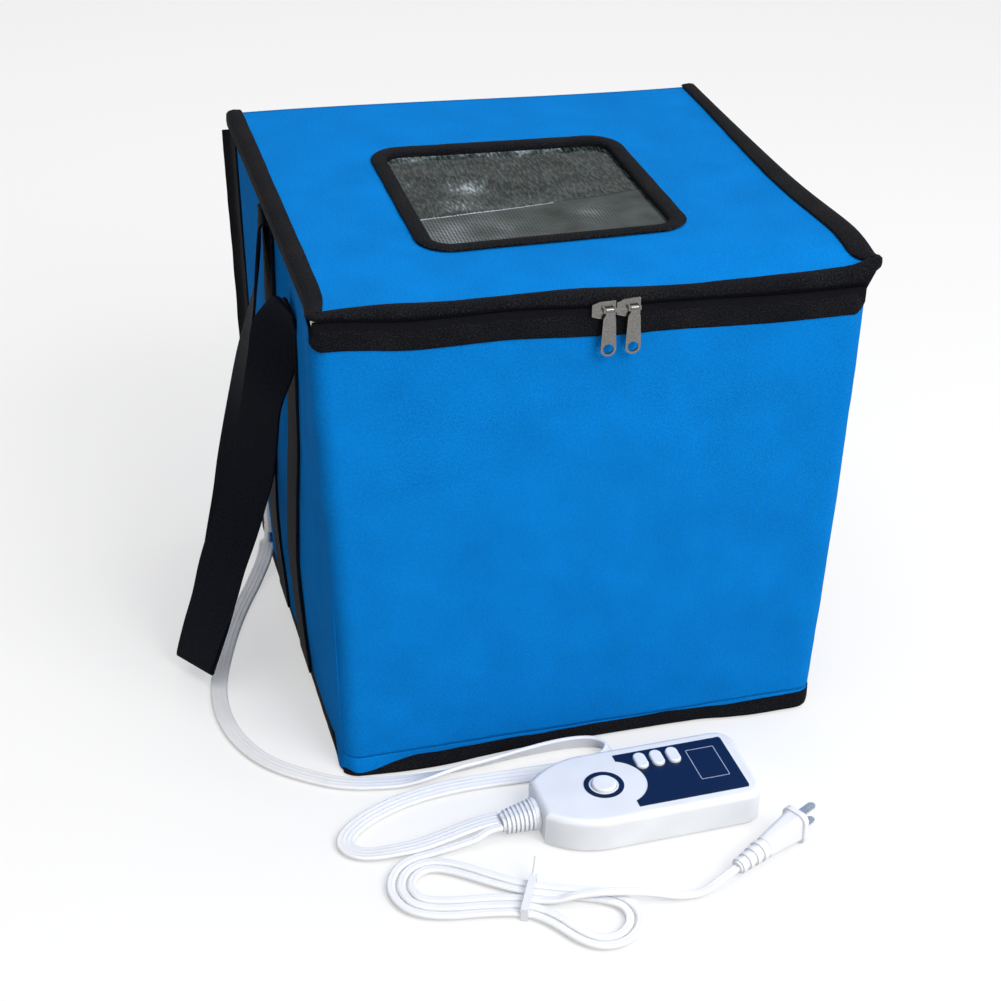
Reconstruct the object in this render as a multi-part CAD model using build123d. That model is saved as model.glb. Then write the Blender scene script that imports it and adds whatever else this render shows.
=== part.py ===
from build123d import *
import math
import os

# Folding dough proofer: a soft insulated box with gusseted sides, a zipped lid with a clear window,
# webbing handles, a heating mat on a lifting floor board, and a wired controller.
# Millimetres. Origin on the floor under the middle of the box, +Z up, front wall towards -Y.

# ---- Box ----
BOX_WIDTH = 370.0          # outside, across the top of the walls
BOX_DEPTH = 350.0          # outside, front to back
BOX_HEIGHT = 361.75        # floor to the top of the lid
SIDE_LEAN = 9.0            # each side wall is this much further in at the floor than at the top
COVER = 1.0                # woven outer cloth
LINING = 7.0               # foam sheet with its foil face
WALL = COVER + LINING
GAP = 0.3                  # free space between soft parts that move past each other

TRAY_HEIGHT = 15.0         # cloth base tray with its bound rim
TRAY_RIM = 3.0
TRAY_FLOOR = 1.5

LID_THICKNESS = 7.25
LID_OVERHANG = 3.0         # each side
LID_COVER = 1.0
SIDE_DROP = 4.5            # the side walls rise a little as they fold, so they stop this far below the lid

LIFT_STACK = 15.0          # room at the back for the floor board when it stands up
FOLD_CLEARANCE = 3.2       # the crease lies this far outside the side walls

# ---- Window ----
WINDOW_X, WINDOW_Y = -6.0, -8.5
WINDOW_WIDTH, WINDOW_DEPTH = 160.0, 152.0
WINDOW_CORNER = 14.0
WINDOW_BINDING = 12.0
FILM = 0.5
BINDING = 1.2

# ---- Handles ----
STRAP_WIDTH = 38.0
STRAP = 2.5
STRAP_OFFSET = 45.0        # each strap's middle, from the middle of the side wall
STRAP_TOP = BOX_HEIGHT - 39.75
LOOP_REACH = 262.0         # how far from the middle of the box the loop hangs
LOOP_BOTTOM = 17.0
LOOP_END_Y = -38.0         # the hanging end swings this far towards the front

# ---- Zip ----
TAPE = 0.8
FLAP_HEIGHT = 7.75         # bound front edge of the lid
ZIP_LINE = BOX_HEIGHT - 14.25   # height where the two rows of coil meet
COIL = 1.6
COIL_FIELD = 6.5           # smooth tape each side of the coils
FRONT_TAPE = 14.0          # ribbed tape sewn to the front wall
SLIDER_LENGTH, SLIDER_HEIGHT, SLIDER_PLATE = 16.0, 12.0, 1.6
SLIDER_SPACING = 16.7
SLIDER_TRAVEL = 150.0
PULL_LENGTH, PULL_TOP_WIDTH, PULL_END_WIDTH, PULL = 33.0, 8.4, 10.6, 1.4
PULL_HOLE = 3.6
PULL_OFFSET = 4.8          # the pull hangs this far right of its slider's middle
PIN_RADIUS = 0.7
PIN_PLAY = 0.06
KNUCKLE_RADIUS = 1.5
KNUCKLE_WIDTH = 5.0
LUG_WIDTH = 1.5

# ---- Floor board and heating mat ----
BOARD = 6.0
BOARD_SIDE_GAP = 3.0
MAT_SHEET = 0.8
MAT_WIDTH, MAT_DEPTH = 290.0, 280.0
WIRE_RADIUS = 0.8
WIRE_RUNS = 9
SENSOR = (14.0, 7.0, 1.9)

# ---- Cable gland on the left wall ----
GLAND_Y = 115.0
GLAND_BOTTOM, GLAND_TOP = 34.0, 76.0
GLAND_WIDTH = 20.0
GLAND_DEPTH = 5.4
GLAND_STEM = 5.5
GLAND_STEM_Z = 56.0
GLAND_NUT_RADIUS, GLAND_NUT = 9.0, 2.2
LEAD_RADIUS = 2.0

# ---- Controller ----
CONTROL_X, CONTROL_Y = 16.5, -259.5
CONTROL_TURN = 1.5
CONTROL_LENGTH = 154.0
CONTROL_HALF_WIDTH = 37.5
CONTROL_END_HALF = 19.0
CONTROL_TAPER = 47.0       # length over which the cord end narrows
CONTROL_CORNER = 15.0
CONTROL_HEIGHT = 26.0
CONTROL_SPLIT = 12.0
SHELL = 2.2
PANEL = 0.4
PANEL_X0, PANEL_X1 = -13.0, 67.5
PANEL_HALF = 28.5
PANEL_SCOOP = 24.0         # radius of the curved edge that goes round the power button
POWER_X = -29.0
RING_RADIUS, RING_WIDTH = 14.0, 3.6
POWER_RADIUS = 8.6
BUTTON_X, BUTTON_Y, BUTTON_PITCH = 4.0, 17.0, 12.0
BUTTON_WIDTH, BUTTON_DEPTH = 8.8, 16.0
BUTTON_RISE = 2.6
BUTTON_TRAVEL = 1.0
BUTTON_PLAY = 0.3
DISPLAY_X, DISPLAY_Y = 48.5, 3.5
DISPLAY_WIDTH, DISPLAY_DEPTH = 22.0, 34.0
BOARD_PCB = 1.6
PCB_Z = 11.0
SWITCH_SIZE, SWITCH_HEIGHT = 6.0, 3.5
RELAY = (20.0, 14.0, 8.0)
CAPACITOR_RADIUS, CAPACITOR_HEIGHT = 4.0, 8.0
SWITCHING_PART = (10.0, 4.5, 7.0)
SCREW_RADIUS, SCREW_HEAD = 1.5, 2.8
RELIEF_RIBS = 7
RELIEF_PITCH = 2.93
RELIEF_ROOT = 3.4          # plain collar against the shell
RELIEF_Z = 9.5

# ---- Cords ----
RIBBON = 7.0               # same section area as the flat four-core ribbon
MAINS = 5.2                # same section area as the flat twin mains lead
RIBBON_ENTRY, MAINS_ENTRY = 4.6, -4.4
RIBBON_ROUTE = [
    (-181.2, 115, 33.7), (-181.2, 114.6, 20), (-187, 104, 8), (-197, 86, 3.5), (-212, 56, 3.5),
    (-227, 20, 3.5), (-240, -20, 3.5), (-249, -55, 3.5), (-250, -89, 3.5), (-243, -121, 3.5),
    (-228, -149, 3.5), (-206, -169, 3.5), (-180, -186, 3.5), (-149, -193, 3.5), (-119, -195, 3.5),
    (-87, -192, 3.5), (-55, -187.5, 3.5), (-24, -184.6, 3.5), (-5, -185.6, 3.5), (7, -189.5, 3.5),
    (13, -198, 3.5), (8, -207, 3.5), (-5, -211.5, 3.5), (-26, -212.5, 3.5), (-52, -210, 3.5),
    (-82, -207.5, 3.5), (-114, -208.5, 3.5), (-144, -214, 3.5), (-172, -226, 3.5), (-189, -240, 3.5),
    (-193, -252, 3.5), (-185, -262, 3.5), (-166, -266, 3.5), (-143, -265, 3.5), (-121, -260.5, 5.5),
]
HANK_CENTRE = (-86.3, -333.0)
HANK_TURN = -25.6
HANK_STEP = 6.9            # each turn lies this far inside the one before
HANK_WAIST, HANK_TIED = 13.8, 12.0
HANK_LOOPS = 2
HANK_LEFT = [(-66, 35.5), (-92.3, 17.8), (-92.7, -13.2), (-66.9, -32.1)]
HANK_RIGHT = [(46, -37), (70.2, -27.6), (76.7, -2.4), (60, 17.5)]
TIE = 0.8
TIE_WIDTH = 5.0
MAINS_Z = MAINS / 2 + TIE + 0.15
HANK_OVER = MAINS_Z + MAINS + 0.9
HANK_START = (-50, 44.5, 5.2)
HANK_LEAVE = [(32, 4.5, HANK_OVER), (64, 14.0, HANK_OVER), (88, 19.5, 5.0)]
FAR_BEND = (110.5, 27.0, MAINS / 2 + 0.3)

# ---- Plug ----
PLUG_AT = (54.5, -344.0, 8.4)
PLUG_TURN, PLUG_TILT = 27.5, 4.0
PLUG_NECK, PLUG_BODY, PLUG_FLANGE = 27.0, 30.0, 4.0
BLADE_LENGTH, BLADE_WIDTH, BLADE, BLADE_SPACING = 17.0, 6.3, 1.5, 12.7

# ---- Derived places ----
LID_UNDER = BOX_HEIGHT - LID_THICKNESS
END_WALL_TOP = LID_UNDER - GAP
SIDE_WALL_TOP = LID_UNDER - SIDE_DROP
WALL_BOTTOM = TRAY_HEIGHT + GAP
HALF_DEPTH = BOX_DEPTH / 2
REAR_AXIS_Y = HALF_DEPTH - WALL - LIFT_STACK
FRONT_AXIS_Y = -HALF_DEPTH + WALL + GAP
CREASE_Y = (REAR_AXIS_Y + FRONT_AXIS_Y) / 2
FLAP_Y = -HALF_DEPTH - 1.2
BOARD_Z = TRAY_FLOOR + GAP
MAT_Z = BOARD_Z + BOARD + 0.1


def half_width(z):
    """Outside half width of the box at height z."""
    return BOX_WIDTH / 2 - SIDE_LEAN * (1 - z / BOX_HEIGHT)


def along_y(points, y0, y1):
    """Prism whose outline is given as (x, z) points, from y0 to y1."""
    plane = Plane(origin=(0, y1, 0), x_dir=(1, 0, 0), z_dir=(0, -1, 0))
    return extrude(plane * Polygon(*points, align=None), amount=y1 - y0)


def block(x0, x1, y0, y1, z0, z1):
    """Box between two corners."""
    return Pos(x0, y0, z0) * Box(x1 - x0, y1 - y0, z1 - z0, align=(Align.MIN, Align.MIN, Align.MIN))


def flip(shape):
    """The same piece on the other side of the box."""
    return mirror(shape, about=Plane.YZ)


# ---- Walls ----
def end_wall(y0, y1, z0, z1, inset=0.0):
    """Front or back sheet, as wide as the box."""
    a, b = half_width(z0) - inset, half_width(z1) - inset
    return along_y([(-a, z0), (a, z0), (b, z1), (-b, z1)], y0, y1)


def side_sheet(inner, outer, y0, y1, z0, z1):
    """Leaning sheet of the left wall, between two depths under its outer face."""
    a, b = -half_width(z0), -half_width(z1)
    return along_y([(a + inner, z0), (a + outer, z0), (b + outer, z1), (b + inner, z1)], y0, y1)


def base_tray():
    """Cloth bottom with its bound rim."""
    top, low = half_width(TRAY_HEIGHT), half_width(0)
    outer = along_y([(-low, 0), (low, 0), (top, TRAY_HEIGHT), (-top, TRAY_HEIGHT)], -HALF_DEPTH, HALF_DEPTH)
    pocket = block(-low + TRAY_RIM, low - TRAY_RIM, -HALF_DEPTH + TRAY_RIM, HALF_DEPTH - TRAY_RIM,
                   TRAY_FLOOR, TRAY_HEIGHT + 1)
    return outer - pocket


def back_cover():
    return end_wall(HALF_DEPTH - COVER, HALF_DEPTH, TRAY_HEIGHT, END_WALL_TOP)


def back_lining():
    return end_wall(HALF_DEPTH - WALL, HALF_DEPTH - COVER, TRAY_HEIGHT, END_WALL_TOP)


def rear_corner():
    """Bound upright strip between the back wall and the fold of the left wall."""
    return side_sheet(0, WALL, REAR_AXIS_Y, HALF_DEPTH - WALL, TRAY_HEIGHT, END_WALL_TOP)


def front_cover():
    return end_wall(-HALF_DEPTH, -HALF_DEPTH + COVER, WALL_BOTTOM, END_WALL_TOP)


def front_lining():
    return end_wall(-HALF_DEPTH + COVER, -HALF_DEPTH + WALL, WALL_BOTTOM, END_WALL_TOP)


def side_half(rear, inner, outer):
    """One half of the left wall, behind or in front of its crease."""
    y0, y1 = (CREASE_Y, REAR_AXIS_Y) if rear else (FRONT_AXIS_Y, CREASE_Y)
    return side_sheet(inner, outer, y0 + GAP, y1 - GAP, WALL_BOTTOM, SIDE_WALL_TOP)


def gland_hole():
    """Hole for the gland's stem through the left wall."""
    return Pos(-half_width(GLAND_STEM_Z), GLAND_Y, GLAND_STEM_Z) * Rot(0, 90, 0) * Cylinder(GLAND_STEM + 0.2, 60)


def strap_band(y):
    """Webbing sewn flat to the left wall."""
    return side_sheet(-STRAP, 0, y - STRAP_WIDTH / 2, y + STRAP_WIDTH / 2, WALL_BOTTOM, STRAP_TOP + 2)


def handle_leg(y_top, y_end, lift):
    """One leg of the hanging loop, a flat strap from the top of its band to the end of the loop."""
    root = half_width(STRAP_TOP) + STRAP + GAP + lift
    end = LOOP_REACH + lift
    w = STRAP_WIDTH / 2
    with_thickness = []
    for x_root, x_end in ((-root, -end), (-root - STRAP, -end - STRAP)):
        with_thickness.append([(x_root, y_top - w, STRAP_TOP), (x_root, y_top + w, STRAP_TOP),
                               (x_end, y_end + w, LOOP_BOTTOM), (x_end, y_end - w, LOOP_BOTTOM)])
    inside, outside = with_thickness
    faces = [make_face(Polyline(*inside, close=True)), make_face(Polyline(*outside, close=True))]
    for i in range(4):
        j = (i + 1) % 4
        faces.append(make_face(Polyline(inside[i], inside[j], outside[j], outside[i], close=True)))
    return Solid(Shell([f.faces()[0] for f in faces]))


def handle_loop():
    """Two legs that meet in a folded end."""
    front = handle_leg(-STRAP_OFFSET, LOOP_END_Y, STRAP + 0.4)
    rear = handle_leg(STRAP_OFFSET, LOOP_END_Y, 0.0)
    depth = 2 * STRAP + 0.4
    fold = block(-LOOP_REACH - depth, -LOOP_REACH, LOOP_END_Y - STRAP_WIDTH / 2, LOOP_END_Y + STRAP_WIDTH / 2,
                 LOOP_BOTTOM - STRAP, LOOP_BOTTOM + 1.0)
    return (front + rear + fold).solids()[0]


# ---- Lid ----
def lid_outline(inset, y_front):
    half = BOX_WIDTH / 2 + LID_OVERHANG - inset
    return -half, half, y_front + inset, HALF_DEPTH - inset


def window_prism(grow, z0, z1):
    """Rounded opening of the window, grown all round."""
    sketch = Pos(WINDOW_X, WINDOW_Y, z0) * RectangleRounded(
        WINDOW_WIDTH + 2 * grow, WINDOW_DEPTH + 2 * grow, WINDOW_CORNER + grow)
    return extrude(sketch, amount=z1 - z0)


def lid_sheet(z0, z1, inset, grow):
    x0, x1, y0, y1 = lid_outline(inset, -HALF_DEPTH)
    return block(x0, x1, y0, y1, z0, z1) - window_prism(grow, z0 - 1, z1 + 1)


def lid_cover():
    return lid_sheet(BOX_HEIGHT - BINDING - LID_COVER, BOX_HEIGHT - BINDING, BINDING, 0)


def lid_lining():
    under_film = BOX_HEIGHT - BINDING - LID_COVER
    return lid_sheet(LID_UNDER, under_film, BINDING, 0) - window_prism(WINDOW_BINDING, under_film - FILM, under_film)


def window_film():
    top = BOX_HEIGHT - BINDING - LID_COVER
    return window_prism(WINDOW_BINDING - GAP, top - FILM, top)


def window_binding():
    """Flat bound frame round the window, on top of the lid."""
    top = BOX_HEIGHT - BINDING
    return window_prism(WINDOW_BINDING, top, BOX_HEIGHT) - window_prism(0, top - 1, BOX_HEIGHT + 1)


def lid_binding():
    """Bound edge of the lid: a rim round it, with bands on top along both sides and the front."""
    x0, x1, y0, y1 = lid_outline(0, -HALF_DEPTH)
    side_band, front_band = 14.0, 8.0
    rim = block(x0, x1, y0, y1, LID_UNDER, BOX_HEIGHT) - block(
        x0 + BINDING, x1 - BINDING, y0 + BINDING, y1 - BINDING, LID_UNDER - 1, BOX_HEIGHT + 1)
    bands = block(x0, x1, y0, y1, BOX_HEIGHT - BINDING, BOX_HEIGHT) - block(
        x0 + side_band, x1 - side_band, y0 + front_band, y1 + 1, 0, BOX_HEIGHT + 1)
    skirt = block(x0, x0 + 1.6, y0, y1 - WALL, SIDE_WALL_TOP - 1, LID_UNDER)
    return rim + bands + skirt + flip(skirt)


def upper_zip_tape():
    """The lid's half of the zip, hanging in front of the front wall, with its row of coil."""
    x = BOX_WIDTH / 2 - 2
    y1 = FLAP_Y + 0.1
    flap = block(-x, x, y1 - TAPE, y1, ZIP_LINE + 0.4, LID_UNDER + 3)
    seam = block(-x, x, y1 - TAPE, -HALF_DEPTH, LID_UNDER + 0.5, LID_UNDER + 3)
    coil = Pos(0, y1 - TAPE, ZIP_LINE + 0.4 + COIL / 2) * Rot(0, 90, 0) * Cylinder(COIL / 2, 2 * x)
    return flap + seam + coil


def lower_zip_tape():
    """The front wall's half of the zip, with its row of coil and the ribbed band under it."""
    x = BOX_WIDTH / 2 - 2
    y1 = -HALF_DEPTH
    field = block(-x, x, y1 - TAPE, y1, ZIP_LINE - COIL_FIELD, ZIP_LINE - 0.2)
    band = block(-x, x, y1 - BINDING, y1, ZIP_LINE - COIL_FIELD - FRONT_TAPE, ZIP_LINE - COIL_FIELD)
    coil = Pos(0, y1 - TAPE, ZIP_LINE - 0.2 - COIL / 2) * Rot(0, 90, 0) * Cylinder(COIL / 2, 2 * x)
    behind = block(-x - 2, x + 2, y1, y1 + COIL, ZIP_LINE - 4, ZIP_LINE + 1)
    return field + band + (coil - behind)


SLIDER_BACK_Y = FLAP_Y + 0.1 - TAPE - COIL / 2 - GAP
PIN_Y = SLIDER_BACK_Y - SLIDER_PLATE - KNUCKLE_RADIUS - 0.3
PIN_Z = ZIP_LINE + 0.5


def slider(x):
    """Zip slider: a shaped plate over the coils, with two lugs and the pin that its pull hangs from."""
    w, h = SLIDER_LENGTH / 2, SLIDER_HEIGHT / 2
    outline = [(x - w, ZIP_LINE - h * 0.7), (x - w * 0.35, ZIP_LINE - h), (x + w, ZIP_LINE - h),
               (x + w, ZIP_LINE + h), (x - w * 0.35, ZIP_LINE + h), (x - w, ZIP_LINE + h * 0.7)]
    plate = along_y(outline, SLIDER_BACK_Y - SLIDER_PLATE, SLIDER_BACK_Y)
    centre = x + PULL_OFFSET - 1.5
    front = PIN_Y - PIN_RADIUS - 0.6
    body = plate
    for side in (-1, 1):
        inner = centre + side * (KNUCKLE_WIDTH / 2 + GAP)
        lug = block(min(inner, inner + side * LUG_WIDTH), max(inner, inner + side * LUG_WIDTH),
                    front, SLIDER_BACK_Y - SLIDER_PLATE, PIN_Z - 1.6, PIN_Z + 1.6)
        body = body + lug
    span = KNUCKLE_WIDTH + 2 * GAP + 2 * LUG_WIDTH
    return body + Pos(centre, PIN_Y, PIN_Z) * Rot(0, 90, 0) * Cylinder(PIN_RADIUS, span)


def pull(x):
    """Flat pull with a rolled knuckle round the slider's pin and a round hole in its end."""
    centre = x + PULL_OFFSET - 1.5
    bottom = PIN_Z - PULL_LENGTH
    end = PULL_END_WIDTH / 2
    outline = [(centre - KNUCKLE_WIDTH / 2, PIN_Z), (centre - KNUCKLE_WIDTH / 2, PIN_Z - 3.2),
               (centre - PULL_TOP_WIDTH / 2, PIN_Z - 6), (centre - end, bottom + end),
               (centre + end, bottom + end), (centre + PULL_TOP_WIDTH / 2, PIN_Z - 6),
               (centre + KNUCKLE_WIDTH / 2, PIN_Z - 3.2), (centre + KNUCKLE_WIDTH / 2, PIN_Z)]
    plate = along_y(outline, PIN_Y - PULL / 2, PIN_Y + PULL / 2)
    ring = Pos(centre, PIN_Y, bottom + end) * Rot(90, 0, 0) * Cylinder(end, PULL)
    hole = Pos(centre, PIN_Y, bottom + end) * Rot(90, 0, 0) * Cylinder(PULL_HOLE, 4 * PULL)
    axis = Pos(centre, PIN_Y, PIN_Z) * Rot(0, 90, 0)
    knuckle = axis * Cylinder(KNUCKLE_RADIUS, KNUCKLE_WIDTH)
    return plate + ring + knuckle - hole - axis * Cylinder(PIN_RADIUS + PIN_PLAY, 2 * KNUCKLE_WIDTH)


# ---- Floor board and heating mat ----
BOARD_HALF = half_width(0) - WALL - BOARD_SIDE_GAP
BOARD_BACK = HALF_DEPTH - WALL - GAP
BOARD_FRONT = -HALF_DEPTH + WALL + 2


def floor_board():
    return block(-BOARD_HALF, BOARD_HALF, BOARD_FRONT, BOARD_BACK, BOARD_Z, BOARD_Z + BOARD)


def heating_mat():
    """Two foil sheets with the heating wire between them."""
    sheets = []
    upper_z = MAT_Z + MAT_SHEET + 2 * WIRE_RADIUS + 0.2
    for z in (MAT_Z, upper_z):
        sheets.append(block(-MAT_WIDTH / 2, MAT_WIDTH / 2, -MAT_DEPTH / 2, MAT_DEPTH / 2, z, z + MAT_SHEET))
    hem = block(-MAT_WIDTH / 2, MAT_WIDTH / 2, -MAT_DEPTH / 2, MAT_DEPTH / 2, MAT_Z, upper_z + MAT_SHEET)
    inner = block(-MAT_WIDTH / 2 + 4, MAT_WIDTH / 2 - 4, -MAT_DEPTH / 2 + 4, MAT_DEPTH / 2 - 4,
                  MAT_Z - 1, upper_z + MAT_SHEET + 1)
    return sheets[0] + sheets[1] + (hem - inner)


def heating_wire():
    """Serpentine of evenly spaced runs joined by half turns."""
    pitch = (MAT_DEPTH - 40) / (WIRE_RUNS - 1)
    half = MAT_WIDTH / 2 - 20 - pitch / 2
    z = MAT_Z + MAT_SHEET + WIRE_RADIUS + 0.1
    pieces = []
    for i in range(WIRE_RUNS):
        y = -(MAT_DEPTH - 40) / 2 + i * pitch
        side = 1 if i % 2 == 0 else -1
        pieces.append(Line((-side * half, y, z), (side * half, y, z)))
        if i < WIRE_RUNS - 1:
            middle = (side * (half + pitch / 2), y + pitch / 2, z)
            pieces.append(ThreePointArc((side * half, y, z), middle, (side * half, y + pitch, z)))
    path = Wire([p.edge() for p in pieces])
    start = Plane(origin=path @ 0, z_dir=path % 0)
    return sweep(start * Circle(WIRE_RADIUS), path=path)


MAT_TOP = MAT_Z + 2 * MAT_SHEET + 2 * WIRE_RADIUS + 0.2


def temperature_sensor():
    """Flat sensor head on the mat."""
    length, width, height = SENSOR
    return block(-100, -100 + length, 90, 90 + width, MAT_TOP, MAT_TOP + height)


# ---- Gland ----
def gland_face(z):
    return -half_width(z)


def cable_gland():
    """Moulded outlet on the left wall: a flat boot that points down, and a stem through the wall."""
    x = gland_face(GLAND_BOTTOM) - GLAND_DEPTH
    boot = block(x, gland_face(GLAND_TOP) + 0.0, GLAND_Y - GLAND_WIDTH / 2, GLAND_Y + GLAND_WIDTH / 2,
                 GLAND_BOTTOM, GLAND_TOP)
    boot = fillet(boot.edges().filter_by(Axis.Z).group_by(Axis.X)[0], 2.4)
    wall = side_sheet(0, 40, GLAND_Y - 40, GLAND_Y + 40, GLAND_BOTTOM - 20, GLAND_TOP + 20)
    stem_length = WALL + GLAND_NUT + 0.3
    stem = Pos(gland_face(GLAND_STEM_Z) - 1, GLAND_Y, GLAND_STEM_Z) * Rot(0, 90, 0) * Cylinder(
        GLAND_STEM, stem_length + 1, align=(Align.CENTER, Align.CENTER, Align.MIN))
    return (boot - wall) + stem


def gland_nut():
    inner = gland_face(GLAND_STEM_Z) + WALL + 0.25
    at = Pos(inner, GLAND_Y, GLAND_STEM_Z) * Rot(0, 90, 0)
    base = (Align.CENTER, Align.CENTER, Align.MIN)
    return at * (extrude(RegularPolygon(GLAND_NUT_RADIUS, 6), amount=GLAND_NUT)
                 - Cylinder(GLAND_STEM + 0.05, 3 * GLAND_NUT, align=base))


# ---- Tubes along a route ----
def fillet_radii(points):
    """Largest round that each corner's two runs allow."""
    radii = []
    for a, b, c in zip(points, points[1:], points[2:]):
        u, v = Vector(*b) - Vector(*a), Vector(*c) - Vector(*b)
        half_turn = math.radians(u.get_angle(v)) / 2
        radii.append(0.45 * min(u.length, v.length) / math.tan(half_turn))
    return radii


def tube(points, diameter, name):
    """Round tube along a route, with a check of its bends and its volume."""
    radii = fillet_radii(points)
    path = FilletPolyline(*points, radius=radii).wires()[0]
    solid = sweep(Plane(origin=path @ 0, z_dir=path % 0) * Circle(diameter / 2), path=path)
    share = solid.volume / (math.pi * diameter ** 2 / 4 * path.length)
    print(f"{name}: length {path.length:.0f}, least radius {min(radii):.1f} = {min(radii) / diameter:.1f} d, "
          f"volume share {share:.4f}")
    return solid, path


def mat_lead():
    """Short inner lead from the mat to the gland."""
    x_end = gland_face(GLAND_STEM_Z) + WALL + GLAND_NUT + 0.9
    z_low = BOARD_Z + BOARD + LEAD_RADIUS + 0.2
    x_low = -MAT_WIDTH / 2 - LEAD_RADIUS - 0.3
    points = [(x_end, GLAND_Y, GLAND_STEM_Z), (x_end + 9, GLAND_Y, GLAND_STEM_Z - 1),
              (x_end + 12.5, GLAND_Y - 1, GLAND_STEM_Z - 12), (x_end + 11, GLAND_Y - 3, GLAND_STEM_Z - 28),
              (x_low - 1, GLAND_Y - 6, z_low + 5), (x_low, GLAND_Y - 16, z_low), (x_low, GLAND_Y - 30, z_low)]
    return tube(points, 2 * LEAD_RADIUS, "mat_lead")[0]


# ---- Controller ----
def place_control(shape):
    """From the controller's own frame, +X towards its display end, to its place beside the box."""
    return Pos(CONTROL_X, CONTROL_Y, 0) * Rot(0, 0, CONTROL_TURN) * shape


def control_outline(inset):
    """Outline that narrows in a curve to the cord end."""
    left, right = -CONTROL_LENGTH / 2, CONTROL_LENGTH / 2
    wide, end, bend = CONTROL_HALF_WIDTH, CONTROL_END_HALF, left + CONTROL_TAPER
    middle = (left + CONTROL_TAPER * 0.36, end + (wide - end) * 0.68)
    upper = [Line((left, -end), (left, end)), ThreePointArc((left, end), middle, (bend, wide)),
             Line((bend, wide), (right - CONTROL_CORNER, wide))]
    corner = CONTROL_CORNER * (1 - math.sqrt(0.5))
    arc = ThreePointArc((right - CONTROL_CORNER, wide), (right - corner, wide - corner),
                        (right, wide - CONTROL_CORNER))
    side = Line((right, wide - CONTROL_CORNER), (right, -wide + CONTROL_CORNER))
    lower = [ThreePointArc((right, -wide + CONTROL_CORNER), (right - corner, -wide + corner),
                           (right - CONTROL_CORNER, -wide)),
             Line((right - CONTROL_CORNER, -wide), (bend, -wide)),
             ThreePointArc((bend, -wide), (middle[0], -middle[1]), (left, -end))]
    face = make_face([*upper, arc, side, *lower])
    return face if inset == 0 else offset(face, amount=-inset)


def power_hole(grow):
    return Pos(POWER_X, 0, 0) * Circle(POWER_RADIUS + grow)


def button_hole(index, grow):
    at = Pos(BUTTON_X + index * BUTTON_PITCH, BUTTON_Y, 0)
    return at * SlotOverall(BUTTON_DEPTH + 2 * grow, BUTTON_WIDTH + 2 * grow, rotation=90)


def display_rect(grow):
    return Pos(DISPLAY_X, DISPLAY_Y, 0) * Rectangle(DISPLAY_WIDTH + 2 * grow, DISPLAY_DEPTH + 2 * grow)


def all_holes(z0, z1, grow):
    holes = extrude(Pos(0, 0, z0) * power_hole(grow), amount=z1 - z0)
    for index in range(3):
        holes = holes + extrude(Pos(0, 0, z0) * button_hole(index, grow), amount=z1 - z0)
    return holes


def bottom_shell():
    outer = extrude(control_outline(0), amount=CONTROL_SPLIT)
    outer = fillet(outer.faces().sort_by(Axis.Z)[0].edges(), 2.5)
    inner = extrude(Pos(0, 0, SHELL) * control_outline(SHELL), amount=CONTROL_SPLIT)
    shell = outer - inner
    for x, y in screw_places():
        shell = shell + Pos(x, y, SHELL - 0.5) * post(4.0, PCB_Z - SHELL + 0.5)
        shell = shell - Pos(x, y, -1) * post(SCREW_RADIUS + 0.15, PCB_Z + 2) - Pos(x, y, -1) * post(
            SCREW_HEAD + 0.15, 4.2)
    return shell - relief_stub(0.05)


def post(radius, height):
    return Cylinder(radius, height, align=(Align.CENTER, Align.CENTER, Align.MIN))


def screw_places():
    return [(-44, 24), (-44, -24), (62, 27), (62, -27)]


def top_shell():
    height = CONTROL_HEIGHT - CONTROL_SPLIT
    outer = extrude(Pos(0, 0, CONTROL_SPLIT) * control_outline(0), amount=height)
    outer = fillet(outer.faces().sort_by(Axis.Z)[-1].edges(), 4.5)
    inner = extrude(Pos(0, 0, CONTROL_SPLIT - 1) * control_outline(SHELL), amount=height + 1 - SHELL)
    shell = outer - inner - all_holes(CONTROL_HEIGHT - SHELL - 1, CONTROL_HEIGHT + 1, BUTTON_PLAY)
    shell = shell - extrude(Pos(0, 0, CONTROL_HEIGHT - SHELL - 1) * display_rect(0.1), amount=SHELL + 2)
    for x, y in screw_places():
        pillar = Pos(x, y, PCB_Z + BOARD_PCB + 0.2) * post(3.6, CONTROL_HEIGHT - PCB_Z - BOARD_PCB - SHELL + 0.3)
        shell = shell + pillar - Pos(x, y, PCB_Z) * post(SCREW_RADIUS + 0.05, 10)
    return shell - relief_stub(0.05)


def shell_screws():
    screws = []
    for x, y in screw_places():
        screws.append(Pos(x, y, 0.8) * post(SCREW_HEAD, 2.2) + Pos(x, y, 0.8) * post(SCREW_RADIUS, PCB_Z + 7))
    return Compound(children=[place_control(s).solid() for s in screws])


def relief_stub(grow):
    """Grooved root of the strain relief, held between the two shells."""
    left = -CONTROL_LENGTH / 2
    neck = Pos(left - 1, 0, CONTROL_SPLIT) * Rot(0, 90, 0) * post(6.5 + grow, SHELL + 2.2 + grow)
    flange = Pos(left + SHELL + 0.2 - grow, 0, CONTROL_SPLIT) * Rot(0, 90, 0) * post(8.5 + grow, 2.0 + 2 * grow)
    return neck + flange


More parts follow.
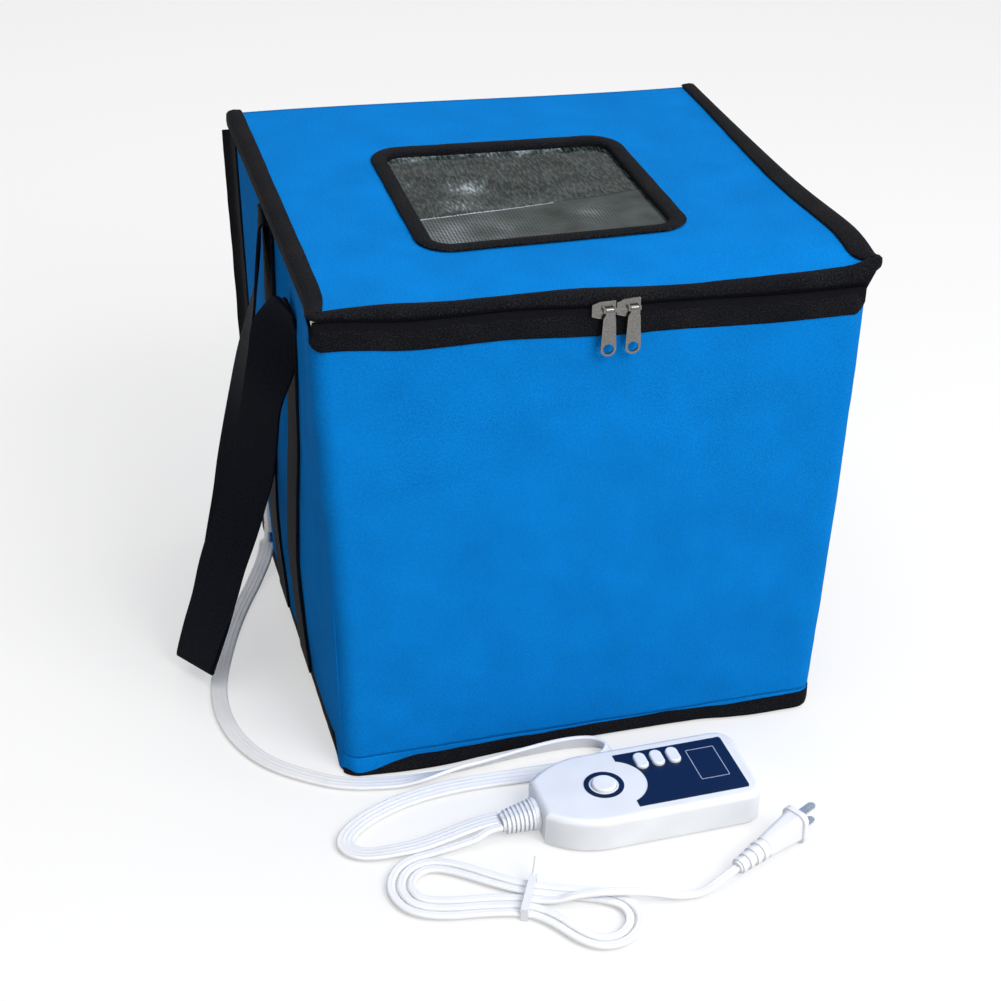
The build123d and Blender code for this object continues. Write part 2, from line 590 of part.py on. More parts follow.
def strain_relief():
    """Ribbed flat-oval sleeve that narrows away from the controller."""
    left = -CONTROL_LENGTH / 2
    body = relief_stub(0)
    for i in range(RELIEF_RIBS):
        size = 1 - 0.22 * i / (RELIEF_RIBS - 1)
        x = left - RELIEF_ROOT - i * RELIEF_PITCH
        z = CONTROL_SPLIT - (CONTROL_SPLIT - RELIEF_Z) * i / (RELIEF_RIBS - 1)
        body = body + relief_disc(x, z, 24.0 * size, 17.5 * size, RELIEF_PITCH * 0.62)
        body = body + relief_disc(x - RELIEF_PITCH * 0.5, z, 19.0 * size, 13.0 * size, RELIEF_PITCH)
    body = body + relief_disc(left - 0.2, CONTROL_SPLIT, 25.0, 19.0, 3.2)
    return body


def relief_disc(x, z, width, height, thickness):
    """Flat-oval slice across the controller's axis, ending at x."""
    plane = Plane(origin=(x, 0, z), x_dir=(0, 1, 0), z_dir=(-1, 0, 0))
    return extrude(plane * SlotOverall(width, height), amount=thickness)


def panel_face():
    """Panel outline: straight on three sides, and scooped round the power button on the fourth."""
    scoop_depth = PANEL_SCOOP - math.sqrt(PANEL_SCOOP ** 2 - 22.0 ** 2)
    edge = Pos((PANEL_X0 + PANEL_X1) / 2, 0, 0) * Rectangle(PANEL_X1 - PANEL_X0, 2 * PANEL_HALF)
    far = Pos(PANEL_X1 - 56, 0, 0) * Circle(62.0)
    scoop = Pos(PANEL_X0 - PANEL_SCOOP + scoop_depth, 0, 0) * Circle(PANEL_SCOOP)
    return edge & far - scoop


def control_panel():
    """Thin dark panel on the top shell, and the dark ring round the power button."""
    panel = extrude(Pos(0, 0, CONTROL_HEIGHT) * panel_face(), amount=PANEL)
    panel = panel - all_holes(CONTROL_HEIGHT - 1, CONTROL_HEIGHT + 2, BUTTON_PLAY)
    ring_face = Pos(POWER_X, 0, CONTROL_HEIGHT) * (Circle(RING_RADIUS) - Circle(RING_RADIUS - RING_WIDTH))
    return Compound(children=[place_control(panel).solid(), place_control(extrude(ring_face, amount=PANEL)).solid()])


def display_module():
    """Display glass under the panel, standing on the circuit board."""
    bottom = PCB_Z + BOARD_PCB
    glass = extrude(Pos(0, 0, bottom) * display_rect(0), amount=CONTROL_HEIGHT - bottom)
    return glass


def circuit_board():
    face = offset(control_outline(0), amount=-SHELL - 1.0)
    board = extrude(Pos(0, 0, PCB_Z) * face, amount=BOARD_PCB)
    board = board - Pos(-CONTROL_LENGTH / 2, 0, PCB_Z - 5) * Box(30, 30, 30)
    for x, y in screw_places():
        board = board - Pos(x, y, PCB_Z - 1) * post(SCREW_RADIUS + 0.3, 5)
    return board


def board_parts():
    """Relay, capacitor and triac under the board, and the four tactile switches on it."""
    base_up = (Align.CENTER, Align.CENTER, Align.MIN)
    parts = [Pos(20, -12, PCB_Z - RELAY[2]) * Box(*RELAY, align=base_up),
             Pos(-8, 14, PCB_Z - CAPACITOR_HEIGHT) * post(CAPACITOR_RADIUS, CAPACITOR_HEIGHT),
             Pos(46, 12, PCB_Z - SWITCHING_PART[2]) * Box(*SWITCHING_PART, align=base_up)]
    places = [(POWER_X, 0)] + [(BUTTON_X + i * BUTTON_PITCH, BUTTON_Y) for i in range(3)]
    for x, y in places:
        base = Pos(x, y, PCB_Z + BOARD_PCB) * Box(SWITCH_SIZE, SWITCH_SIZE, SWITCH_HEIGHT, align=base_up)
        parts.append(base + Pos(x, y, PCB_Z + BOARD_PCB + SWITCH_HEIGHT - 0.1) * post(1.6, 1.6))
    return Compound(children=[place_control(p).solid() for p in parts])


BUTTON_FLANGE_TOP = CONTROL_HEIGHT - SHELL - 0.3
BUTTON_FLANGE = 1.2
PLUNGER_BOTTOM = PCB_Z + BOARD_PCB + 5.0 + BUTTON_TRAVEL + 0.3


def power_button():
    cap = Pos(POWER_X, 0, BUTTON_FLANGE_TOP - 0.2) * post(POWER_RADIUS, CONTROL_HEIGHT + BUTTON_RISE
                                                         - BUTTON_FLANGE_TOP + 0.2)
    cap = fillet(cap.faces().sort_by(Axis.Z)[-1].edges(), 1.6)
    flange = Pos(POWER_X, 0, BUTTON_FLANGE_TOP - BUTTON_FLANGE) * post(POWER_RADIUS + 1.6, BUTTON_FLANGE)
    plunger = Pos(POWER_X, 0, PLUNGER_BOTTOM) * post(2.5, BUTTON_FLANGE_TOP - PLUNGER_BOTTOM)
    return cap + flange + plunger


def oval_button(index):
    x = BUTTON_X + index * BUTTON_PITCH
    cap = extrude(Pos(0, 0, BUTTON_FLANGE_TOP - 0.2) * button_hole(index, 0),
                  amount=CONTROL_HEIGHT + BUTTON_RISE - BUTTON_FLANGE_TOP + 0.2)
    cap = fillet(cap.faces().sort_by(Axis.Z)[-1].edges(), 1.3)
    flange = extrude(Pos(0, 0, BUTTON_FLANGE_TOP - BUTTON_FLANGE) * button_hole(index, 1.0), amount=BUTTON_FLANGE)
    plunger = Pos(x, BUTTON_Y, PLUNGER_BOTTOM) * post(2.0, BUTTON_FLANGE_TOP - PLUNGER_BOTTOM)
    return cap + flange + plunger


# ---- Cords and plug ----
def relief_end(y, away):
    """Middle of one cord at a distance from the free end of the strain relief."""
    end = -CONTROL_LENGTH / 2 - RELIEF_ROOT - RELIEF_PITCH * (RELIEF_RIBS + 0.5)
    spot = place_control(Pos(end - away, y, RELIEF_Z)).position
    return (spot.X, spot.Y, spot.Z)


def hank_point(p, q, z):
    """From the hank's own axes, along and across it, to the shared frame."""
    a = math.radians(HANK_TURN)
    return (HANK_CENTRE[0] + p * math.cos(a) - q * math.sin(a),
            HANK_CENTRE[1] + p * math.sin(a) + q * math.cos(a), z)


def inset_corners(corners, step):
    """Corners of a closed counter-clockwise polygon moved inwards by the same step on every side."""
    moved = []
    count = len(corners)
    for i, corner in enumerate(corners):
        here = Vector(*corner)
        before, after = Vector(*corners[i - 1]), Vector(*corners[(i + 1) % count])
        along_in, along_out = (here - before).normalized(), (after - here).normalized()
        inward = Vector(-along_in.Y - along_out.Y, along_in.X + along_out.X).normalized()
        half_turn = math.radians(along_in.get_angle(along_out)) / 2
        place = here + inward * (step / math.cos(half_turn))
        moved.append((place.X, place.Y))
    return moved


def hank_turns():
    """Corners of every turn, from the outside inwards, in the hank's own axes."""
    w, t = HANK_WAIST, HANK_TIED
    ring = [(t, w), (-t, w)] + HANK_LEFT + [(-t, -w), (t, -w)] + HANK_RIGHT
    turns = []
    for loop in range(HANK_LOOPS + 1):
        inner = inset_corners(ring, loop * HANK_STEP)
        turns += inner[2:8]
        if loop < HANK_LOOPS:
            turns += inner[8:] + inner[:2]
    return turns


def hank_route():
    """The lead comes in from the controller, makes its turns and leaves over the top of them."""
    middle = [(p, q, MAINS_Z) for p, q in hank_turns()]
    return [hank_point(*place) for place in [HANK_START] + middle + HANK_LEAVE]


def run_on(place, towards, length):
    """Point beyond a place, straight on from another."""
    along = (Vector(*place) - Vector(*towards)).normalized()
    spot = Vector(*place) + along * length
    return (spot.X, spot.Y, spot.Z)


def place_plug(shape):
    return Pos(*PLUG_AT) * Rot(0, 0, PLUG_TURN) * Rot(0, -PLUG_TILT, 0) * shape


def plug_entry(away):
    """Middle of the lead at a distance from the plug's neck."""
    spot = place_plug(Pos(-away, 0, 0)).position
    return (spot.X, spot.Y, spot.Z)


def plug_body():
    """Ribbed neck, tapering grip and flat front flange."""
    turn = Rot(0, 90, 0)
    body = turn * Cone(4.2, 6.6, PLUG_NECK, align=(Align.CENTER, Align.CENTER, Align.MIN))
    for i in range(4):
        body = body + Pos(1.5 + i * 6.4, 0, 0) * turn * post(5.6 + 0.6 * i, 3.4)
    neck_end = Plane(origin=(PLUG_NECK, 0, 0), x_dir=(0, 1, 0), z_dir=(1, 0, 0))
    grip_end = Plane(origin=(PLUG_NECK + PLUG_BODY, 0, 0), x_dir=(0, 1, 0), z_dir=(1, 0, 0))
    grip = loft([neck_end * RectangleRounded(13, 14, 5), grip_end * RectangleRounded(16, 22, 5)], ruled=True)
    flange = extrude(grip_end * RectangleRounded(20, 25, 6), amount=PLUG_FLANGE)
    return body + grip + flange


def plug_blades():
    """Two flat contact blades with rounded ends."""
    start = PLUG_NECK + PLUG_BODY + PLUG_FLANGE
    blades = []
    for side in (-1, 1):
        plane = Plane(origin=(0, 0, side * BLADE_SPACING / 2 - BLADE / 2))
        flat = Pos(start + BLADE_LENGTH / 2 - 2, 0, 0) * Rectangle(BLADE_LENGTH - 4, BLADE_WIDTH)
        tip = Pos(start + BLADE_LENGTH - BLADE_WIDTH / 2, 0, 0) * Circle(BLADE_WIDTH / 2)
        blades.append(extrude(plane * (flat + tip), amount=BLADE))
    return Compound(children=[place_plug(b).solid() for b in blades])


def twist_tie():
    """Flat band of tie round the waist of the hank, with its twisted end."""
    half = HANK_WAIST + MAINS / 2 + 0.8
    low, high = MAINS_Z - MAINS / 2 - 0.1, HANK_OVER - 1.0
    plane = Plane(origin=(0, 0, 0), x_dir=(0, 1, 0), z_dir=(1, 0, 0))
    outer = plane * Pos(0, (high + low) / 2, 0) * Rectangle(2 * half + 2 * TIE, high - low + 2 * TIE)
    inner = plane * Pos(0, (high + low) / 2, 0) * Rectangle(2 * half, high - low)
    band = extrude(outer, amount=TIE_WIDTH / 2, both=True) - extrude(inner, amount=TIE_WIDTH, both=True)
    end = Pos(0, half + TIE / 2, high) * Rot(-50, 0, 0) * post(1.1, 12)
    inside = block(-TIE_WIDTH, TIE_WIDTH, -half, half, low, high)
    return Pos(HANK_CENTRE[0], HANK_CENTRE[1], 0) * Rot(0, 0, HANK_TURN) * (band + (end - inside))


def least_gap(path, diameter, skip):
    """Least free space between stretches of one tube that are further apart along it than skip."""
    count = 500
    points = [path @ (i / count) for i in range(count + 1)]
    step = path.length / count
    least = 1e9
    for i in range(count + 1):
        for j in range(i + int(skip / step) + 1, count + 1):
            least = min(least, (points[i] - points[j]).length)
    return least - diameter


def write(name, shape):
    export_step(shape, f"parts/{name}.step")
    return name


def main():
    os.makedirs("parts", exist_ok=True)
    hole = gland_hole()
    write("base_tray", base_tray())
    write("back_cover", back_cover())
    write("back_lining", back_lining())
    write("rear_corner_left", rear_corner())
    write("rear_corner_right", flip(rear_corner()))
    write("front_cover", front_cover())
    write("front_lining", front_lining())
    write("lower_zip_tape", lower_zip_tape())
    for end, rear in (("rear", True), ("front", False)):
        cover, lining = side_half(rear, 0, COVER), side_half(rear, COVER, WALL)
        band = strap_band(STRAP_OFFSET if rear else -STRAP_OFFSET)
        write(f"right_{end}_cover", flip(cover))
        write(f"right_{end}_lining", flip(lining))
        write(f"right_{end}_strap", flip(band))
        write(f"left_{end}_cover", cover - hole if rear else cover)
        write(f"left_{end}_lining", lining - hole if rear else lining)
        write(f"left_{end}_strap", band)
    write("left_handle_loop", handle_loop())
    write("right_handle_loop", flip(handle_loop()))
    write("cable_gland", cable_gland())
    write("gland_nut", gland_nut())

    write("lid_cover", lid_cover())
    write("lid_lining", lid_lining())
    write("lid_binding", lid_binding())
    write("window_film", window_film())
    write("window_binding", window_binding())
    write("upper_zip_tape", upper_zip_tape())
    for side, x in (("left", 0.0), ("right", SLIDER_SPACING)):
        write(f"{side}_slider", slider(x))
        write(f"{side}_pull", pull(x))

    write("floor_board", floor_board())
    write("heating_mat", heating_mat())
    write("heating_wire", heating_wire())
    write("temperature_sensor", temperature_sensor())
    write("mat_lead", mat_lead())

    write("controller_bottom_shell", place_control(bottom_shell()))
    write("controller_top_shell", place_control(top_shell()))
    write("control_panel", control_panel())
    write("display_module", place_control(display_module()))
    write("circuit_board", place_control(circuit_board()))
    write("board_parts", board_parts())
    write("shell_screws", shell_screws())
    write("strain_relief", place_control(strain_relief()))
    write("power_button", place_control(power_button()))
    for index, name in enumerate(("mode_button", "minus_button", "plus_button")):
        write(name, place_control(oval_button(index)))

    ribbon_route = RIBBON_ROUTE + [relief_end(RIBBON_ENTRY, 12), relief_end(RIBBON_ENTRY, 0.3)]
    write("ribbon_cord", tube(ribbon_route, RIBBON, "ribbon_cord")[0])
    hank = hank_route()
    solid, path = tube(hank, MAINS, "mains_hank")
    print(f"mains_hank: least gap to itself {least_gap(path, MAINS, 30):.2f}")
    write("mains_hank", solid)
    near = [relief_end(MAINS_ENTRY, 0.3), relief_end(MAINS_ENTRY, 9),
            run_on(hank[0], hank[1], 7), run_on(hank[0], hank[1], 0.1)]
    write("mains_lead_near", tube(near, MAINS, "mains_lead_near")[0])
    far = [run_on(hank[-1], hank[-2], 0.1), run_on(hank[-1], hank[-2], 9), hank_point(*FAR_BEND),
           plug_entry(15), plug_entry(0.3)]
    write("mains_lead_far", tube(far, MAINS, "mains_lead_far")[0])
    write("twist_tie", twist_tie())
    write("plug_body", place_plug(plug_body()))
    write("plug_blades", plug_blades())


main()
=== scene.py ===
import math
import bpy
from mathutils import Matrix, Vector, noise


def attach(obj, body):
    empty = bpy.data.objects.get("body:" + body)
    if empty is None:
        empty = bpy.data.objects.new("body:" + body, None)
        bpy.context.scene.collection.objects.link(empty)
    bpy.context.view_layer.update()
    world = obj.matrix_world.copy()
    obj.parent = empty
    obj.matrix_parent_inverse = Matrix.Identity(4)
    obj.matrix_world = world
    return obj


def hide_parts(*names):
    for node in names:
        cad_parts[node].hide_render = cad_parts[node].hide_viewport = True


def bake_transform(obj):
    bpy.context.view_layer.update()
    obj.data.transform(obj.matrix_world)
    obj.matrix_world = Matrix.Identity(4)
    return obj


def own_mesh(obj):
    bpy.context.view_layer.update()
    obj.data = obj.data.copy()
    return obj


# Folding dough proofer, dressed. Lengths are in millimetres in the shared frame and become metres in
# the meshes: the origin is on the floor under the middle of the box, +Z is up, the front faces -Y.

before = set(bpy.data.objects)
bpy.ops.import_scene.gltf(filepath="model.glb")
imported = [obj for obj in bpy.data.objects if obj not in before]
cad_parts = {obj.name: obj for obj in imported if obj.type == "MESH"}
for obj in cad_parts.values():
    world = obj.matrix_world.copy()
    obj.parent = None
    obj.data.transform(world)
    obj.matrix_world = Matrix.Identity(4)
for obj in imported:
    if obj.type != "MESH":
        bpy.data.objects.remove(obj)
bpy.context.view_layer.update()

MM = 0.001

# ---- The camera's place ----
CAMERA_AT = (-384.954, -1309.425, 926.111)
CAMERA_TURN, CAMERA_DOWN, CAMERA_ROLL = -15.73, 31.212, 0.909
CAMERA_FOCAL = 2063.222 / 1001 * 36

# ---- Box, as in the CAD source ----
BOX_WIDTH, BOX_DEPTH, BOX_HEIGHT = 370.0, 350.0, 361.75
SIDE_LEAN = 9.0
HALF_DEPTH = BOX_DEPTH / 2
TRAY_HEIGHT = 15.0
LID_UNDER = 354.5
LID_HALF = 188.0
SIDE_TOP = 350.0
REAR_AXIS_Y, FRONT_AXIS_Y = 152.0, -166.7
CREASE_Y = (REAR_AXIS_Y + FRONT_AXIS_Y) / 2
CORNER = 12.0
TOP_LEFT_FLARE = 5.5         # the front left corner leans out this far at its top
RIGHT_FLARE = 4.8            # and the front right one from half its height up

WINDOW_X, WINDOW_Y = -5.0, -8.0
WINDOW_WIDTH, WINDOW_DEPTH, WINDOW_CORNER, WINDOW_TAPE = 170.0, 160.0, 14.0, 10.0

STRAP_WIDTH, STRAP, STRAP_OFFSET = 37.0, 2.0, 45.0
FRONT_FOLD_TOP, REAR_FOLD_TOP = 305.0, 337.0
BLUE_TOP = 341.0
LOWER_TAPE_TOP, LOWER_TAPE_BOTTOM = 343.5, 326.5
ZIP_LINE = 347.5


def half_width(z):
    """Outside half width of the box at height z."""
    return BOX_WIDTH / 2 - SIDE_LEAN * (1 - z / BOX_HEIGHT)


def mix(a, b, share):
    return a + (b - a) * share


def ease(share):
    share = min(max(share, 0.0), 1.0)
    return share * share * (3 - 2 * share)


def ripple(x, y, size, seed):
    """Smooth uneven height between about -1 and 1, over lengths of that size."""
    return noise.noise(Vector((x / size, y / size, seed)))


# ---- Materials ----
def material(name, colour, roughness, metallic=0.0):
    made = bpy.data.materials.new(name)
    made.use_nodes = True
    shader = made.node_tree.nodes["Principled BSDF"]
    shader.inputs["Base Color"].default_value = (*colour, 1.0)
    shader.inputs["Roughness"].default_value = roughness
    shader.inputs["Metallic"].default_value = metallic
    return made


def add(tree, kind, **settings):
    made = tree.nodes.new(kind)
    for key, value in settings.items():
        setattr(made, key, value)
    return made


def maths(tree, operation, first, second=None):
    """Maths node on two values, each a socket or a number."""
    made = add(tree, "ShaderNodeMath", operation=operation)
    for index, value in enumerate((first, second)):
        if value is None:
            continue
        if isinstance(value, (int, float)):
            made.inputs[index].default_value = value
        else:
            tree.links.new(value, made.inputs[index])
    return made.outputs[0]


def cloth_place(tree, by_object=False):
    """Along and across sockets in millimetres, from the cloth's own map or the piece's place."""
    source = add(tree, "ShaderNodeTexCoord").outputs["Object" if by_object else "UV"]
    scale = add(tree, "ShaderNodeVectorMath", operation="SCALE")
    scale.inputs["Scale"].default_value = 1 / MM if by_object else 1.0
    tree.links.new(source, scale.inputs[0])
    parts = add(tree, "ShaderNodeSeparateXYZ")
    tree.links.new(scale.outputs[0], parts.inputs[0])
    return scale.outputs[0], parts.outputs[0], parts.outputs[1], parts.outputs[2]


def waves(tree, along, pitch):
    return maths(tree, "SINE", maths(tree, "MULTIPLY", along, 2 * math.pi / pitch))


def clouds(tree, place, size, detail=2.0):
    """Uneven shade from 0 to 1 over patches of that size in millimetres."""
    made = add(tree, "ShaderNodeTexNoise")
    made.inputs["Scale"].default_value = 1 / size
    made.inputs["Detail"].default_value = detail
    tree.links.new(place, made.inputs["Vector"])
    return made.outputs["Fac"]


def tint(tree, shader, fac, dark, light, low=0.35, high=0.65):
    """Colour between two shades, by a value from 0 to 1."""
    ramp = add(tree, "ShaderNodeValToRGB")
    ramp.color_ramp.elements[0].position = low
    ramp.color_ramp.elements[1].position = high
    ramp.color_ramp.elements[0].color = (*dark, 1.0)
    ramp.color_ramp.elements[1].color = (*light, 1.0)
    tree.links.new(fac, ramp.inputs[0])
    tree.links.new(ramp.outputs[0], shader.inputs["Base Color"])
    return ramp


def raise_by(tree, shader, height, depth_mm, strength=1.0):
    """Bump of a height from -1 to 1."""
    bump = add(tree, "ShaderNodeBump")
    bump.inputs["Strength"].default_value = strength
    bump.inputs["Distance"].default_value = depth_mm * MM
    tree.links.new(height, bump.inputs["Height"])
    tree.links.new(bump.outputs[0], shader.inputs["Normal"])


def shaded(colour, factor):
    return tuple(c * factor for c in colour)


def woven(name, colour, pitch, depth, spread=0.12, roughness=0.85, patch=2.2):
    """Plain weave: threads that pass over and under, with uneven shade."""
    made = material(name, colour, roughness)
    tree = made.node_tree
    shader = tree.nodes["Principled BSDF"]
    shader.inputs["Specular IOR Level"].default_value = 0.04
    place, u, v, _ = cloth_place(tree)
    weave = maths(tree, "MULTIPLY", waves(tree, u, 2 * pitch), waves(tree, v, 2 * pitch))
    patches = clouds(tree, place, patch, 3.0)
    broad = clouds(tree, place, 45.0, 2.0)
    shade = maths(tree, "ADD", maths(tree, "MULTIPLY", patches, 0.55), maths(tree, "MULTIPLY", broad, 0.35))
    shade = maths(tree, "ADD", shade, maths(tree, "MULTIPLY", weave, 0.07))
    tint(tree, shader, shade, shaded(colour, 1 - spread), shaded(colour, 1 + spread), 0.28, 0.62)
    raise_by(tree, shader, maths(tree, "ADD", weave, maths(tree, "MULTIPLY", patches, 0.8)), depth)
    return made


def ribbed_tape(name, colour, fleck, pitch=1.1, depth=0.25):
    """Coarse woven binding with worn, paler flecks on its ribs."""
    made = material(name, colour, 0.72)
    tree = made.node_tree
    shader = tree.nodes["Principled BSDF"]
    shader.inputs["Specular IOR Level"].default_value = 0.04
    place, u, v, _ = cloth_place(tree)
    ribs = maths(tree, "MULTIPLY", waves(tree, u, pitch), waves(tree, v, 2 * pitch))
    flecks = clouds(tree, place, 1.1, 2.0)
    broad = clouds(tree, place, 30.0, 2.0)
    worn = maths(tree, "ADD", flecks, maths(tree, "MULTIPLY", broad, 0.25))
    worn = maths(tree, "ADD", worn, maths(tree, "MULTIPLY", ribs, 0.10))
    tint(tree, shader, worn, colour, fleck, 0.60, 0.95)
    raise_by(tree, shader, maths(tree, "ADD", ribs, flecks), depth)
    return made


def webbing_weave(name, colour):
    """Strap webbing: slanting ribs across."""
    made = material(name, colour, 0.62)
    tree = made.node_tree
    shader = tree.nodes["Principled BSDF"]
    shader.inputs["Specular IOR Level"].default_value = 0.03
    place, u, v, _ = cloth_place(tree)
    slant = maths(tree, "ADD", u, maths(tree, "MULTIPLY", v, 0.6))
    twill = maths(tree, "MULTIPLY", waves(tree, slant, 1.5), waves(tree, v, 1.8))
    flecks = clouds(tree, place, 1.6, 2.0)
    shade = maths(tree, "ADD", maths(tree, "MULTIPLY", twill, 0.12), flecks)
    tint(tree, shader, shade, shaded(colour, 0.6), shaded(colour, 1.7), 0.3, 0.8)
    raise_by(tree, shader, maths(tree, "ADD", twill, flecks), 0.22)
    return made


def crinkled_foil(name):
    made = material(name, (0.78, 0.79, 0.80), 0.34, 0.85)
    tree = made.node_tree
    shader = tree.nodes["Principled BSDF"]
    place, _, _, _ = cloth_place(tree, by_object=True)
    folds = add(tree, "ShaderNodeTexVoronoi", feature="F1")
    folds.inputs["Scale"].default_value = 1 / 9.0
    tree.links.new(place, folds.inputs["Vector"])
    fine = clouds(tree, place, 3.0, 3.0)
    raise_by(tree, shader, maths(tree, "ADD", folds.outputs["Distance"], fine), 0.5)
    tint(tree, shader, fine, (0.60, 0.61, 0.62), (0.86, 0.87, 0.88))
    return made


def moulded(name, colour, roughness, grain=0.03, spread=0.03):
    """Moulded plastic with a faint grain."""
    made = material(name, colour, roughness)
    tree = made.node_tree
    shader = tree.nodes["Principled BSDF"]
    place, _, _, _ = cloth_place(tree, by_object=True)
    fine = clouds(tree, place, 0.7, 2.0)
    broad = clouds(tree, place, 25.0, 1.0)
    tint(tree, shader, broad, shaded(colour, 1 - spread), shaded(colour, 1 + spread), 0.3, 0.7)
    raise_by(tree, shader, fine, grain)
    return made


def plated(name, colour, roughness=0.22):
    made = material(name, colour, roughness, 1.0)
    tree = made.node_tree
    shader = tree.nodes["Principled BSDF"]
    place, _, _, _ = cloth_place(tree, by_object=True)
    scuffs = clouds(tree, place, 1.2, 3.0)
    tint(tree, shader, scuffs, shaded(colour, 0.75), shaded(colour, 1.1), 0.3, 0.7)
    raise_by(tree, shader, scuffs, 0.05)
    return made


def window_plastic(name):
    """Smoky clear sheet, painted dark for the shaded inside seen through it: streaked in its far part, with a fine
    net in its near part, painted glare spots, a painted highlight along its back edge, and a painted highlight and
    shade along the crease between its parts.
    """
    made = material(name, (0.05, 0.06, 0.06), 0.12)
    tree = made.node_tree
    shader = tree.nodes["Principled BSDF"]
    shader.inputs["Specular IOR Level"].default_value = 0.06
    place, x, y, _ = cloth_place(tree, by_object=True)
    stretch = add(tree, "ShaderNodeMapping")
    stretch.inputs["Scale"].default_value = (0.62, 0.15, 1.0)
    stretch.inputs["Rotation"].default_value = (0, 0, math.radians(-14))
    tree.links.new(place, stretch.inputs["Vector"])
    streaks = clouds(tree, stretch.outputs[0], 1.0, 4.0)
    patches = clouds(tree, place, 22.0, 2.0)

    def bright_spot(at, reach):
        """1 at a place on the sheet, falling to 0 at that distance."""
        apart = add(tree, "ShaderNodeVectorMath", operation="DISTANCE")
        apart.inputs[1].default_value = at
        tree.links.new(place, apart.inputs[0])
        return maths(tree, "MAXIMUM", maths(tree, "SUBTRACT", 1.0, maths(tree, "DIVIDE", apart.outputs["Value"], reach)), 0.0)

    far = maths(tree, "ADD", maths(tree, "MULTIPLY", streaks, 0.80), maths(tree, "MULTIPLY", patches, 0.17))
    # Painted glare: two bright spots of painted reflection on the sheet.
    painted_glare = maths(tree, "ADD", bright_spot((-40, 12, 358), 22.0), bright_spot((-52, -14, 358), 20.0))
    # Painted highlight: a bright strip that grows towards the back edge and stops short of the right.
    painted_back_edge = maths(tree, "MAXIMUM", maths(tree, "MULTIPLY", maths(tree, "SUBTRACT", y, WINDOW_Y + 66), 0.06), 0.0)
    right_fade = maths(tree, "LESS_THAN", x, 46.0)
    painted_highlights = maths(tree, "ADD", painted_glare, maths(tree, "MULTIPLY", painted_back_edge, right_fade))
    far = maths(tree, "ADD", far, maths(tree, "MULTIPLY", maths(tree, "MULTIPLY", painted_highlights, patches), 0.62))
    net = maths(tree, "MAXIMUM", waves(tree, x, 2.4), waves(tree, y, 2.4))
    net_left = maths(tree, "MULTIPLY", bright_spot((-66, -66, 358), 90.0), 0.24)
    net_right = maths(tree, "MULTIPLY", bright_spot((34, -50, 358), 24.0), 0.26)
    netting = maths(tree, "MULTIPLY", net, maths(tree, "ADD", net_left, net_right))
    near = maths(tree, "ADD", netting, maths(tree, "ADD", maths(tree, "MULTIPLY", patches, 0.30), 0.365))
    split = maths(tree, "SUBTRACT", y, maths(tree, "MULTIPLY", x, 0.13))
    is_far = maths(tree, "GREATER_THAN", split, WINDOW_Y - 18)
    edge = maths(tree, "LESS_THAN", maths(tree, "ABSOLUTE", maths(tree, "ADD", split, 18 - WINDOW_Y)), 0.8)
    left_part = maths(tree, "LESS_THAN", x, 12.0)
    # Painted crease line: painted highlight along its left part and painted shade along its right part.
    crease = maths(tree, "MULTIPLY", edge, maths(tree, "SUBTRACT", maths(tree, "MULTIPLY", left_part, 0.5), 0.2))
    blend = add(tree, "ShaderNodeMix")
    tree.links.new(is_far, blend.inputs[0])
    tree.links.new(near, blend.inputs[2])
    tree.links.new(far, blend.inputs[3])
    shade = maths(tree, "ADD", blend.outputs[0], crease)
    ramp = tint(tree, shader, shade, (0.006, 0.010, 0.009), (0.46, 0.52, 0.60), 0.42, 0.98)
    middle = ramp.color_ramp.elements.new(0.66)
    middle.color = (0.060, 0.078, 0.076, 1)
    raise_by(tree, shader, patches, 0.5)
    return made


def floor_material():
    """White ground that keeps the object's shadow and throws back only part of the light."""
    made = material("studio_floor", (0.92, 0.92, 0.92), 0.9)
    tree = made.node_tree
    shader = tree.nodes["Principled BSDF"]
    shader.inputs["Specular IOR Level"].default_value = 0.0
    glow = add(tree, "ShaderNodeEmission")
    glow.inputs["Strength"].default_value = 1.0
    path = add(tree, "ShaderNodeLightPath")
    seen = maths(tree, "MAXIMUM", path.outputs["Is Camera Ray"], path.outputs["Is Glossy Ray"])
    tint(tree, shader, seen, (0.55, 0.55, 0.55), (0.92, 0.92, 0.92), 0.1, 0.9)
    both = add(tree, "ShaderNodeMixShader")
    tree.links.new(maths(tree, "MULTIPLY", seen, 0.5), both.inputs[0])
    tree.links.new(shader.outputs[0], both.inputs[1])
    tree.links.new(glow.outputs[0], both.inputs[2])
    tree.links.new(both.outputs[0], tree.nodes["Material Output"].inputs[0])
    return made


BLUE = woven("blue_cloth", (0.0015, 0.190, 0.595), 0.75, 0.14, 0.17, 0.9, 1.7)
BINDING = ribbed_tape("black_binding", (0.004, 0.005, 0.008), (0.036, 0.033, 0.032))
SMOOTH_TAPE = woven("zip_tape", (0.007, 0.007, 0.009), 0.5, 0.06, 0.25)
WEBBING = webbing_weave("strap_webbing", (0.007, 0.008, 0.012))
FOIL = crinkled_foil("foil_lining")
WHITE_PLASTIC = moulded("white_plastic", (0.83, 0.845, 0.87), 0.33)
WHITE_BUTTON = moulded("white_buttons", (0.84, 0.86, 0.90), 0.38)
NAVY = moulded("navy_panel", (0.006, 0.011, 0.045), 0.28)
DISPLAY = moulded("display_glass", (0.007, 0.012, 0.045), 0.12)
CORD_WHITE = moulded("white_cord", (0.88, 0.88, 0.89), 0.42)
RUBBER_WHITE = moulded("white_rubber", (0.82, 0.83, 0.86), 0.5)
NICKEL = plated("zip_nickel", (0.205, 0.198, 0.19), 0.24)
BLADE_METAL = plated("blade_metal", (0.72, 0.70, 0.66), 0.3)
SCREW_STEEL = plated("screw_steel", (0.6, 0.6, 0.62), 0.3)
